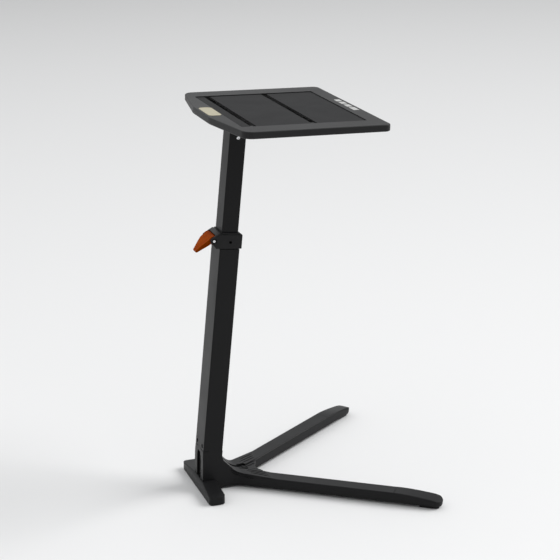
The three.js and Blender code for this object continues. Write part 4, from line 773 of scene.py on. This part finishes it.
def raise_toe(leg, side):
    """Draws the toe of a measured leg up to a fuller end that rolls outwards a little."""
    heading = Vector((math.cos(SPLAY), side * math.sin(SPLAY), 0))
    toe = FOOT @ (Vector((LEG_START, 0, 0)) * MM) + heading * (LEG_REACH - TOE_RUN) * MM

    def run_of(spot):
        return (spot - toe).dot(heading) / MM

    edit(leg)
    for run in TOE_CUTS:
        choose("faces", lambda f, m: any(run_of(v.co) > run for v in f.verts))
        bpy.ops.mesh.bisect(plane_co=toe + heading * run * MM, plane_no=heading)
    bpy.ops.object.mode_set(mode="OBJECT")
    for vertex in leg.data.vertices:
        run, height = run_of(vertex.co), vertex.co.z / MM
        inward = side * (vertex.co - toe).cross(heading).z / MM
        over_pad = abs(inward) < PAD_ROOM and run < TOE_RUN - PAD_ROOM_END
        if run <= 0 or (height < PAD_ROOM_HEIGHT and over_pad):
            continue
        share = min(run / TOE_RUN, 1)
        top = LEG_TOP - TOE_DROP * share ** TOE_CURVE
        weight = min(max((height - LIFT_FROM) / (top - LIFT_FROM), 0), 1)
        nose = max(0, (run - TOE_RUN + NOSE_RUN) / NOSE_RUN) ** 2
        roll = 1 + TOE_ROLL * (1 - nose) * inward / LEG_HALF
        vertex.co.z += (TOE_LIFT * roll * share ** LIFT_CURVE - NOSE_DROP * nose) * weight * MM


# %% Legs
# The front of the post's foot is drawn forward towards the floor. The legs' upper rim, which
# starts at SEAM along the post, is moved up by SEAM_CLOSE to close the weld.
FOOT_DRAW, DRAW_HEIGHT = 3, 112
SEAM, SEAM_CLOSE, CRISP_FROM = 111.5, 0.28, 104
for side, word in SIDES:
    leg = copy_of(f"leg_{word}", f"{word}_leg")
    raise_toe(leg, side)
    for vertex in leg.data.vertices:
        height = vertex.co.z / MM
        if vertex.co.x < FOOT_X and height < DRAW_HEIGHT:
            vertex.co.x -= FOOT_DRAW * (1 - height / DRAW_HEIGHT) * MM
        if (POST.inverted() @ vertex.co).z > SEAM * MM:
            vertex.co += POST.to_3x3() @ Vector((0, 0, SEAM_CLOSE * MM))
    for path in crease_paths(side):
        crease(leg, path)
    cut_slot(leg, side)
    soften(leg, 0.8, 2, 38, leave=lambda m: m.z > CRISP_FROM * MM)
    finish_piece(leg, "base", powder_coat, covers=[f"leg_{word}"], angle=45)

# %% [markdown]
# ## Hub
# The hub is the web between the legs, with a spigot inside the tube. Two slots open it where it
# meets the legs. Its core is hollow behind the notch of the post's foot, so the notch looks black.

# %% Hub with its slots
SCREW_SPREAD, SCREW_HEIGHT, IN_FRONT = 20.5, 122, -40
COUNTERBORE, COUNTERBORE_END = 5.5, -16.5
RECESS_HALF, RECESS_LOW, RECESS_HIGH, RECESS_BACK = 29.5, 32, 94, 14
hub = copy_of("base_hub", "leg_hub")
for side in (-1, 1):
    cut_slot(hub, side)
    screw_at = (side * SCREW_SPREAD, SCREW_HEIGHT)
    drill = bar_stock("drill", COUNTERBORE, IN_FRONT, COUNTERBORE_END, "X", screw_at, 32)
    cut_with(hub, drill, place=POST)
recess = block(
    "recess", (IN_FRONT, -RECESS_HALF, RECESS_LOW), (RECESS_BACK, RECESS_HALF, RECESS_HIGH),
)
cut_with(hub, recess, place=POST)
soften(hub, 0.6, 2, 38)
finish_piece(hub, "base", powder_coat, covers=["base_hub"], angle=45)

# %% [markdown]
# ## Rubber pads
# Pads under the bar and the toes grip the floor. Moulding leaves a small radius on every edge,
# so a merged copy of each measured pad is rounded.

# %% Pads
for node in ("foot_pad_left", "foot_pad_right", "toe_pad_left", "toe_pad_right"):
    pad = soften(copy_of(node, node + "_rubber"), 0.7, 2, 50)
    finish_piece(pad, "base", pad_rubber, covers=[node])

# %% [markdown]
# ## The telescopic post
# Both tubes are drawn steel with small corner radii. Each starts as a block and has its long edges
# rounded. The lower one is bored through, for the upper one slides in it, and has two holes in
# front for the screws that hold it on the hub's spigot. The upper one is open from below.

# %% Lower tube
TUBE_WIDTH, TUBE_DEPTH, TUBE_START, TUBE_END = 72, 52.4, 112.3, 656.7
TUBE_CORNER, TUBE_WALL, TUBE_HOLE, TUBE_HOLE_END = 3.5, 2.5, 5.4, -22
BORE_START, BORE_STOP = 90, 700
TUBE_X, TUBE_Y = TUBE_DEPTH / 2, TUBE_WIDTH / 2
BORE_X, BORE_Y = TUBE_X - TUBE_WALL, TUBE_Y - TUBE_WALL
lower = block("lower_post_tube", (-TUBE_X, -TUBE_Y, TUBE_START), (TUBE_X, TUBE_Y, TUBE_END))
round_edges(lower, TUBE_CORNER, lambda e, m: runs_along(e, 2), 6)
bore = rounded_block(
    "bore", (-BORE_X, -BORE_Y, BORE_START), (BORE_X, BORE_Y, BORE_STOP),
    TUBE_CORNER - TUBE_WALL, 4,
)
cut_with(lower, bore)
for side in (-1, 1):
    screw_at = (side * SCREW_SPREAD, SCREW_HEIGHT)
    cut_with(lower, bar_stock("drill", TUBE_HOLE, IN_FRONT, TUBE_HOLE_END, "X", screw_at, 32))
soften(lower, 0.4, 2, 50, leave=lambda m: m.z < (TUBE_START + 0.7) * MM)
finish_piece(lower, "base", tube_coat, POST, ["lower_tube"])

# %% [markdown]
# ## Button-head screws
# The two screws in the tube are alike: a domed head with a hexagon socket on a plain shank. One
# is modelled upright at the origin, and each of the two is a copy of it with its own mesh.

# %% Tube screws
HEAD_RADIUS, HEAD_HEIGHT, HEAD_DOME = 3.6, 3, 1.4
SOCKET_RADIUS, SOCKET_FLOOR, SHANK_RADIUS, SHANK_END = 1.9, 1, 2.5, -9
SCREW_SEAT = -19.2
SCREW_TURN = Matrix.Rotation(-math.pi / 2, 4, "Y")
screw = bar_stock("tube_screw", HEAD_RADIUS, 0, HEAD_HEIGHT)
round_edges(
    screw, HEAD_DOME, lambda e, m: m.z > (HEAD_HEIGHT - 0.1) * MM and not runs_along(e, 2), 4,
)
cut_with(screw, bar_stock("socket", SOCKET_RADIUS, SOCKET_FLOOR, HEAD_HEIGHT + 2, steps=6))
cut_with(screw, bar_stock("shank", SHANK_RADIUS, SHANK_END, 0.2, steps=24), "UNION")
for side, word in SIDES:
    spot = Matrix.Translation((SCREW_SEAT * MM, side * SCREW_SPREAD * MM, SCREW_HEIGHT * MM))
    one = bpy.data.objects.new(f"tube_screw_{word}_button", screw.data.copy())
    bpy.context.scene.collection.objects.link(one)
    finish_piece(one, "base", black_oxide, POST @ spot @ SCREW_TURN, [f"tube_screw_{word}"])
bpy.data.objects.remove(screw)

# %% Upper tube
MAST_WIDTH, MAST_DEPTH, MAST_START, MAST_END = 54.4, 43.2, 444, 981.5
MAST_CORNER, MAST_WALL, MAST_OPENING = 3, 2, 60
upper = block(
    "upper_post_tube", (-MAST_DEPTH / 2, -MAST_WIDTH / 2, MAST_START),
    (MAST_DEPTH / 2, MAST_WIDTH / 2, MAST_END),
)
round_edges(upper, MAST_CORNER, lambda e, m: runs_along(e, 2), 6)
edit(upper)
choose("faces", lambda f, m: f.normal.z < -0.9)
bpy.ops.mesh.inset(thickness=MAST_WALL * MM, depth=0)
bpy.ops.mesh.extrude_region_move(TRANSFORM_OT_translate={"value": (0, 0, MAST_OPENING * MM)})
bpy.ops.object.mode_set(mode="OBJECT")
soften(upper, 0.3, 2, 50)
finish_piece(upper, "mast", tube_coat, POST, ["upper_tube"])

# %% [markdown]
# ## Collar, liner and clamp
# The moulded collar caps the lower tube. Its two cheeks hold a bright pin, and the orange lever
# turns on that pin. Its round head is off centre, so closing it presses a shoe on the tube.
# Their curves were measured, so merged copies are used and their edges get moulded radii.

# %% Room for the lever and the side screws
PIN_AT, SIDE_SCREW_AT = (-42.3, 677.7), (0, 675.2)
LEVER_ROOM, CHEEK_INSIDE = 14.6, 26.9
SIDE_HOLE, SIDE_HOLE_FLOOR, OUTSIDE = 3.9, 31.9, 40


def open_collar(collar):
    """Rounds out the room between the cheeks and sinks a hole on each side."""
    room = bar_stock("room", LEVER_ROOM, -CHEEK_INSIDE, CHEEK_INSIDE, "Y", PIN_AT, 64)
    cut_with(collar, room, place=POST)
    for side in (-1, 1):
        start, end = side * SIDE_HOLE_FLOOR, side * OUTSIDE
        hole = bar_stock("hole", SIDE_HOLE, start, end, "Y", SIDE_SCREW_AT, 32)
        cut_with(collar, hole, place=POST)


# %% Collar, liner, glide and shoe
MOULDINGS = (
    ("clamp_collar", "base", 0.8), ("collar_liner", "base", 0.3),
    ("tube_glide", "mast", 0.4), ("clamp_shoe", "shoe", 0.5),
)
for node, body, radius in MOULDINGS:
    moulded = copy_of(node, node + "_moulded")
    if node == "clamp_collar":
        open_collar(moulded)
    soften(moulded, radius, 2, 38)
    finish_piece(moulded, body, moulded_nylon, covers=[node], angle=45)

# %% Lever
lever = soften(copy_of("clamp_lever", "cam_lever"), 1.2, 3, 30)
finish_piece(lever, "lever", orange_nylon, covers=["clamp_lever"], angle=50)

# %% [markdown]
# ## Pin and rings
# The pin is turned from bar: a rounded end and a small centre left by the lathe. Spring rings
# hold it in the cheeks, and a sunk screw on each side of the collar locks it to the tube.

# %% Pin
PIN_RADIUS, PIN_HALF, CENTRE_RADIUS, CENTRE_FLOOR, CENTRE_END = 4, 34.6, 0.9, 34.2, 36
pin = bar_stock("clamp_pin", PIN_RADIUS, -PIN_HALF, PIN_HALF, "Y", PIN_AT)
soften(pin, 1.2, 4, 40)
for side in (-1, 1):
    start, end = side * CENTRE_FLOOR, side * CENTRE_END
    cut_with(pin, bar_stock("centre", CENTRE_RADIUS, start, end, "Y", PIN_AT, 24))
finish_piece(pin, "base", bright_steel, POST, ["lever_pin"])

# %% Rings and side screws
GRUB_RADIUS, GRUB_START, GRUB_END = 2.95, 28.6, 32.2
HEXAGON_RADIUS, HEXAGON_FLOOR, HEXAGON_END = 1.6, 30.5, 36
for side, word in SIDES:
    ring = soften(copy_of(f"pin_ring_{word}", f"pin_ring_{word}_steel"), 0.15, 2, 40)
    finish_piece(ring, "base", black_oxide, covers=[f"pin_ring_{word}"])
    start, end = side * GRUB_START, side * GRUB_END
    grub = bar_stock(f"collar_grub_screw_{word}", GRUB_RADIUS, start, end, "Y", SIDE_SCREW_AT, 32)
    start, end = side * HEXAGON_FLOOR, side * HEXAGON_END
    cut_with(grub, bar_stock("socket", HEXAGON_RADIUS, start, end, "Y", SIDE_SCREW_AT, 6))
    soften(grub, 0.3, 2, 50)
    finish_piece(grub, "base", black_oxide, POST, [f"collar_screw_{word}"])

# %% [markdown]
# ## Tray
# The tray is one moulding. Its front edge is straight in the middle and falls back to both sides.
# It starts as a block, its two front corners are cut away, and every upright corner gets its own
# radius. A bevel is as wide as its radius times the tangent of half the turn of the corner.
# Then the seat for the mats, the two device grooves and the seat of the bare plate are cut in.

# %% The tray's outline
TRAY_FRONT, TRAY_BACK, TRAY_HALF, TRAY_THICK = -91, 309.5, 250, 17.3
TRAY_BOW, TRAY_STRAIGHT_HALF = 31.3, 67
BACK_CORNER, LEAST_BACK_CORNER, SIDE_CORNER, LEAST_SIDE_CORNER, BEND = 17, 5, 26, 10, 90
WING = math.atan2(TRAY_BOW, TRAY_HALF - TRAY_STRAIGHT_HALF)


def tray_blank(name, inset, low, high):
    """The tray's outline, or one that lies inside it all round, as a block of some height."""
    half, front, back = TRAY_HALF - inset, TRAY_FRONT + inset, TRAY_BACK - inset
    blank = block(name, (front, -half, low), (back, half, high))
    edit(blank)
    bend = TRAY_STRAIGHT_HALF - inset * math.tan(WING / 2)
    for side in (-1, 1):
        bpy.ops.mesh.select_all(action="SELECT")
        bpy.ops.mesh.bisect(
            plane_co=(front * MM, side * bend * MM, 0),
            plane_no=(-math.cos(WING), side * math.sin(WING), 0),
            use_fill=True, clear_outer=True,
        )
    bpy.ops.object.mode_set(mode="OBJECT")

    def round_uprights(width, segments, where):
        round_edges(blank, width, lambda e, m: runs_along(e, 2) and where(m), segments)

    back_corner = max(BACK_CORNER - inset, LEAST_BACK_CORNER)
    round_uprights(back_corner, 10, lambda m: m.x > (back - 1) * MM)
    side_corner = max(SIDE_CORNER - inset, LEAST_SIDE_CORNER)
    side_width = side_corner * math.tan((math.pi / 2 - WING) / 2)
    round_uprights(side_width, 12, lambda m: abs(m.y) > (half - 1) * MM and m.x < 0)
    round_uprights(BEND * math.tan(WING / 2), 8, lambda m: m.x < (front + 1) * MM)
    return blank


tray = tray_blank("tray_top", 0, 0, TRAY_THICK)
round_edges(tray, 3, lambda e, m: not runs_along(e, 2), 5)
print("front edge falls back by", round(math.degrees(WING), 1), "degrees on each side")

# %% Seats cut into the tray
SEAT_FRONT, SEAT_BACK, SEAT_HALF, SEAT_DEPTH, SEAT_CORNER = -49.5, 269, 190, 5, 5
SEAT_FLOOR = TRAY_THICK - SEAT_DEPTH
ABOVE, BELOW = TRAY_THICK + 5, -5
mat_seat = rounded_block(
    "mat seat", (SEAT_FRONT, -SEAT_HALF, SEAT_FLOOR), (SEAT_BACK, SEAT_HALF, ABOVE), SEAT_CORNER,
)
cut_with(tray, mat_seat)
PLATE_X, PLATE_HALF_WIDTH, PLATE_HALF_LENGTH, PLATE_CORNER = TRAY_FRONT + 23.2, 16.5, 50, 12
PLATE_PLAY, PLATE_SEAT_DEPTH = 0.3, 1.4
seat_width, seat_length = PLATE_HALF_WIDTH + PLATE_PLAY, PLATE_HALF_LENGTH + PLATE_PLAY
plate_seat = rounded_block(
    "plate seat", (PLATE_X - seat_width, -seat_length, TRAY_THICK - PLATE_SEAT_DEPTH),
    (PLATE_X + seat_width, seat_length, ABOVE), PLATE_CORNER + PLATE_PLAY,
)
cut_with(tray, plate_seat)
COVER_INSET, COVER_SEAT_DEPTH = 15.7, 3.3
cut_with(tray, tray_blank("cover seat", COVER_INSET, BELOW, COVER_SEAT_DEPTH))

# %% [markdown]
# ## Device grooves
# Each groove has a floor narrower than its mouth and a front wall that leans, so a phone or a
# tablet rests back in it. A lining of black rubber, darker than the tray, is laid in each groove as
# painted shade: it darkens the groove where shade falls. Small ribs stand on its wall nearest the
# rider. One block is drawn in at its foot: a wide one cuts the tray, and the lining is nearly the
# same wide block with the measured groove cut out of it. Round bars that are first cut out of that
# second cutter leave the ribs standing.

# %% Grooves and their linings
GROOVE_STARTS = {"front": -23.29, "rear": 130.29}
GROOVE_MOUTH, GROOVE_DEPTH, GROOVE_LEFT, GROOVE_RIGHT = 13.6, 12.6, -157, 187
FRONT_DRAW, BACK_DRAW = 1.5, 4.1
LINING, LINING_PLAY, LINING_LIP = 1.0, 0.1, 0.6
RIB_PITCH, RIB_COUNT, RIB_RADIUS, RIB_X, RIB_LEFT, RIB_TOP = 13, 26, 1.5, 12.9, -148, 20


def groove_block(name, start, grow, top):
    """A groove as a solid: its measured form, or one that is wider by the dark lining that paints
    its shade.
    """
    form = block(
        name, (start - grow, GROOVE_LEFT - grow, TRAY_THICK - GROOVE_DEPTH - grow),
        (start + GROOVE_MOUTH + grow, GROOVE_RIGHT + grow, top),
    )
    edit(form)
    middle = (start + 5) * MM
    choose("verts", lambda v, m: m.z < SEAT_FLOOR * MM and m.x < middle)
    bpy.ops.transform.translate(value=(FRONT_DRAW * MM, 0, 0))
    choose("verts", lambda v, m: m.z < SEAT_FLOOR * MM and m.x > middle)
    bpy.ops.transform.translate(value=(-BACK_DRAW * MM, 0, 0))
    bpy.ops.object.mode_set(mode="OBJECT")
    return form


for word, start in GROOVE_STARTS.items():
    cut_with(tray, groove_block("room", start, LINING + LINING_PLAY, SEAT_FLOOR + 1))
    # The lining is a dark rubber sheet laid where the groove is in shade: painted shade.
    shade_lining = groove_block(f"groove_shade_lining_{word}", start, LINING, SEAT_FLOOR + LINING_LIP)
    inner = groove_block("inner", start, 0, SEAT_FLOOR + 2)
    for number in range(RIB_COUNT):
        rib_at = (start + RIB_X, RIB_LEFT + number * RIB_PITCH)
        cut_with(inner, bar_stock("rib", RIB_RADIUS, 0, RIB_TOP, "Z", rib_at, 12))
    cut_with(shade_lining, inner)
    soften(shade_lining, 0.2, 1, 50)
    finish_piece(shade_lining, "mast", pad_rubber, TRAY)
soften(tray, 0.5, 2, 50)
finish_piece(tray, "mast", tray_abs, TRAY, ["table_tray"])

# %% [markdown]
# ## Mats, plate and print
# The mats are cut from sheet and lie in their seat. The plate is thin metal with round ends and a
# drawn edge, and it is left bare. The print on the rim is a row of plain bars.

# %% Mats
for node in ("mat_front", "mat_middle", "mat_rear"):
    mat = soften(copy_of(node, node + "_sheet"), 0.3, 2, 60)
    finish_piece(mat, "mast", mat_rubber, covers=[node])

# %% Bare plate
PLATE_UNDERSIDE, PLATE_TOP = TRAY_THICK - 1.1, TRAY_THICK + 0.5
PLATE_BORDER, PLATE_STEP, PLATE_RAISE = 1.4, 0.6, -0.35
plate = rounded_block(
    "bare_plate", (PLATE_X - PLATE_HALF_WIDTH, -PLATE_HALF_LENGTH, PLATE_UNDERSIDE),
    (PLATE_X + PLATE_HALF_WIDTH, PLATE_HALF_LENGTH, PLATE_TOP), PLATE_CORNER,
)
edit(plate)
choose("faces", lambda f, m: f.normal.z > 0.9)
bpy.ops.mesh.inset(thickness=PLATE_BORDER * MM, depth=0)
bpy.ops.mesh.inset(thickness=PLATE_STEP * MM, depth=PLATE_RAISE * MM)
bpy.ops.object.mode_set(mode="OBJECT")
soften(plate, 0.25, 2, 40)
finish_piece(plate, "mast", gold_plate, TRAY, ["front_plate"])

# %% Print bars on the rim
PRINT_NEAR, PRINT_FAR, PRINT_THICK, PRINT_CORNER = 284.5, 299.5, 0.12, 1.5
PRINT_BARS = ((-68, -33), (-25, 3), (11, 37), (45, 68))
for number, (left, right) in enumerate(PRINT_BARS, 1):
    print_bar = rounded_block(
        f"print_bar_{number}", (PRINT_NEAR, left, TRAY_THICK),
        (PRINT_FAR, right, TRAY_THICK + PRINT_THICK), PRINT_CORNER,
    )
    finish_piece(print_bar, "mast", white_print, TRAY)

# %% [markdown]
# ## Under the tray
# A cover closes the tray from below, a steel bracket joins it to the upper tube, and a bright
# cross bolt goes through both. All are merged copies of the measured solids with small radii.

# %% Cover, bracket, bolts and screws
cover = soften(copy_of("tray_cover", "underside_cover"), 0.3, 2, 60)
finish_piece(cover, "mast", moulded_nylon, covers=["tray_cover"])
bracket = soften(copy_of("tray_bracket", "mast_bracket"), 0.4, 2, 40)
finish_piece(bracket, "mast", tube_coat, covers=["tray_bracket"])
for node in sorted(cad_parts):
    if node.startswith(("bracket_screw", "cover_screw", "foot_bolt", "cross_")):
        small = soften(copy_of(node, node + "_steel"), 0.2, 2, 40)
        steel = bright_steel if node.startswith("cross_") else black_oxide
        finish_piece(small, "base" if node.startswith("foot") else "mast", steel, covers=[node])

# %% [markdown]
# ## Studio
# The floor is pale and runs out of sight. Its colour carries a painted pool of light: it is painted
# brightest near one spot beside the desk and darker far away, as in a studio whose light is
# gathered round the object. To the camera and in reflections it shows that pale colour. For soft
# light that bounces off it, it counts as a darker floor, so the black sides stay black.

# %% Floor
FLOOR_SIZE, PAINTED_POOL_CENTRE = 80, (2.2, -4.0, 0)  # in metres
clear()
bpy.ops.mesh.primitive_plane_add(size=FLOOR_SIZE, location=(0, 0, 0))
floor = bpy.context.object
floor.name = "studio_floor"
floor_paint, place = new_finish(
    "pale studio floor", "base_metal", Roughness=0.8, Specular_IOR_Level=0.1,
)
# The floor's colour is painted lighter round one spot and darker with distance from it: a painted
# pool of light.
reach = add_node(
    floor_paint, "ShaderNodeVectorMath", {0: place, 1: PAINTED_POOL_CENTRE}, operation="DISTANCE",
)
painted_pool_fade = add_node(
    floor_paint, "ShaderNodeMapRange",
    {"Value": reach.outputs["Value"], "From Min": 0.5, "From Max": 14.0,
     "To Min": 0.0, "To Max": 1.0},
)
pale = add_node(
    floor_paint, "ShaderNodeMix",
    {0: painted_pool_fade.outputs[0], 6: linear("#ffffff"), 7: linear("#b8b8b8")}, data_type="RGBA",
)
ray = add_node(floor_paint, "ShaderNodeLightPath")
seen = add_node(
    floor_paint, "ShaderNodeMath",
    {0: ray.outputs["Is Camera Ray"], 1: ray.outputs["Is Glossy Ray"]}, operation="MAXIMUM",
)
seen_too = add_node(
    floor_paint, "ShaderNodeMath",
    {0: seen.outputs[0], 1: ray.outputs["Is Transmission Ray"]}, operation="MAXIMUM",
)
floor_colour = add_node(
    floor_paint, "ShaderNodeMix",
    {0: seen_too.outputs[0], 6: linear("#808080"), 7: pale.outputs[2]}, data_type="RGBA",
)
floor_paint.node_tree.links.new(
    floor_colour.outputs[2], floor_paint.node_tree.nodes["Principled BSDF"].inputs["Base Color"],
)
floor.data.materials.append(floor_paint)
print("floor:", [round(c, 1) for c in floor.dimensions], "m")

# %% [markdown]
# ## Light
# A wide soft lamp stands high on the right, behind the rider, and gives the long soft shadow on
# the floor. The rest is the light of a pale room, brighter above and behind the desk than on the
# camera's side.

# %% Lamp
LAMP_FROM = Vector((0.76, -0.12, 0.64)).normalized()
LAMP_POWER, LAMP_WIDTH = 2.0, math.radians(38)
clear()
bpy.ops.object.light_add(type="SUN", location=LAMP_FROM * 4)
lamp = bpy.context.object
lamp.name = "wide_soft_lamp"
lamp.data.energy = LAMP_POWER
lamp.data.angle = LAMP_WIDTH
lamp.rotation_euler = LAMP_FROM.to_track_quat("Z", "Y").to_euler()
print("lamp:", lamp.data.energy, "and", round(math.degrees(lamp.data.angle)), "degrees wide")

# %% Room light
ROOM_SIDE = Vector((-0.35, 0.55, 0.76)).normalized()
world = bpy.data.worlds.new("pale room")
bpy.context.scene.world = world
world.use_nodes = True
way = add_node(world, "ShaderNodeTexCoord")
facing = add_node(
    world, "ShaderNodeVectorMath", {0: way.outputs["Generated"], 1: ROOM_SIDE},
    operation="DOT_PRODUCT",
)
room = add_node(
    world, "ShaderNodeMapRange",
    {"Value": facing.outputs["Value"], "From Min": -0.4, "From Max": 0.9,
     "To Min": 0.25, "To Max": 1.0},
)
background = world.node_tree.nodes["Background"]
background.inputs["Color"].default_value = linear("#f4f5f6")
world.node_tree.links.new(room.outputs[0], background.inputs["Strength"])
print("room light:", len(world.node_tree.nodes), "nodes")

# %% [markdown]
# ## Camera
# The camera looks from the rider's left and a little from the front, from above the tray. Its
# place was worked out from the long straight edges of the post and the tray.

# %% Camera
CAMERA_AHEAD, CAMERA_LEFT, CAMERA_HEIGHT = 1088.56, 3591.96, 1796.35
CAMERA_PITCH, CAMERA_TURN = math.radians(71.88), math.radians(-19.85)
SENSOR, FOCAL_PIXELS, PICTURE_PIXELS = 36, 1562.868, 560
camera_data = bpy.data.cameras.new("camera")
camera = bpy.data.objects.new("camera", camera_data)
bpy.context.scene.collection.objects.link(camera)
camera.location = (FOOT_X - CAMERA_AHEAD * MM, -CAMERA_LEFT * MM, CAMERA_HEIGHT * MM)
camera.rotation_euler = (CAMERA_PITCH, 0, CAMERA_TURN)
camera_data.sensor_width = SENSOR
camera_data.lens = SENSOR * FOCAL_PIXELS / PICTURE_PIXELS
camera_data.clip_end = 120
bpy.context.scene.camera = camera
bpy.context.scene.view_settings.view_transform = "Standard"
print("camera:", round(camera_data.lens, 1), "mm lens at", [round(c, 3) for c in camera.location])

# %% Clear the selection
clear()
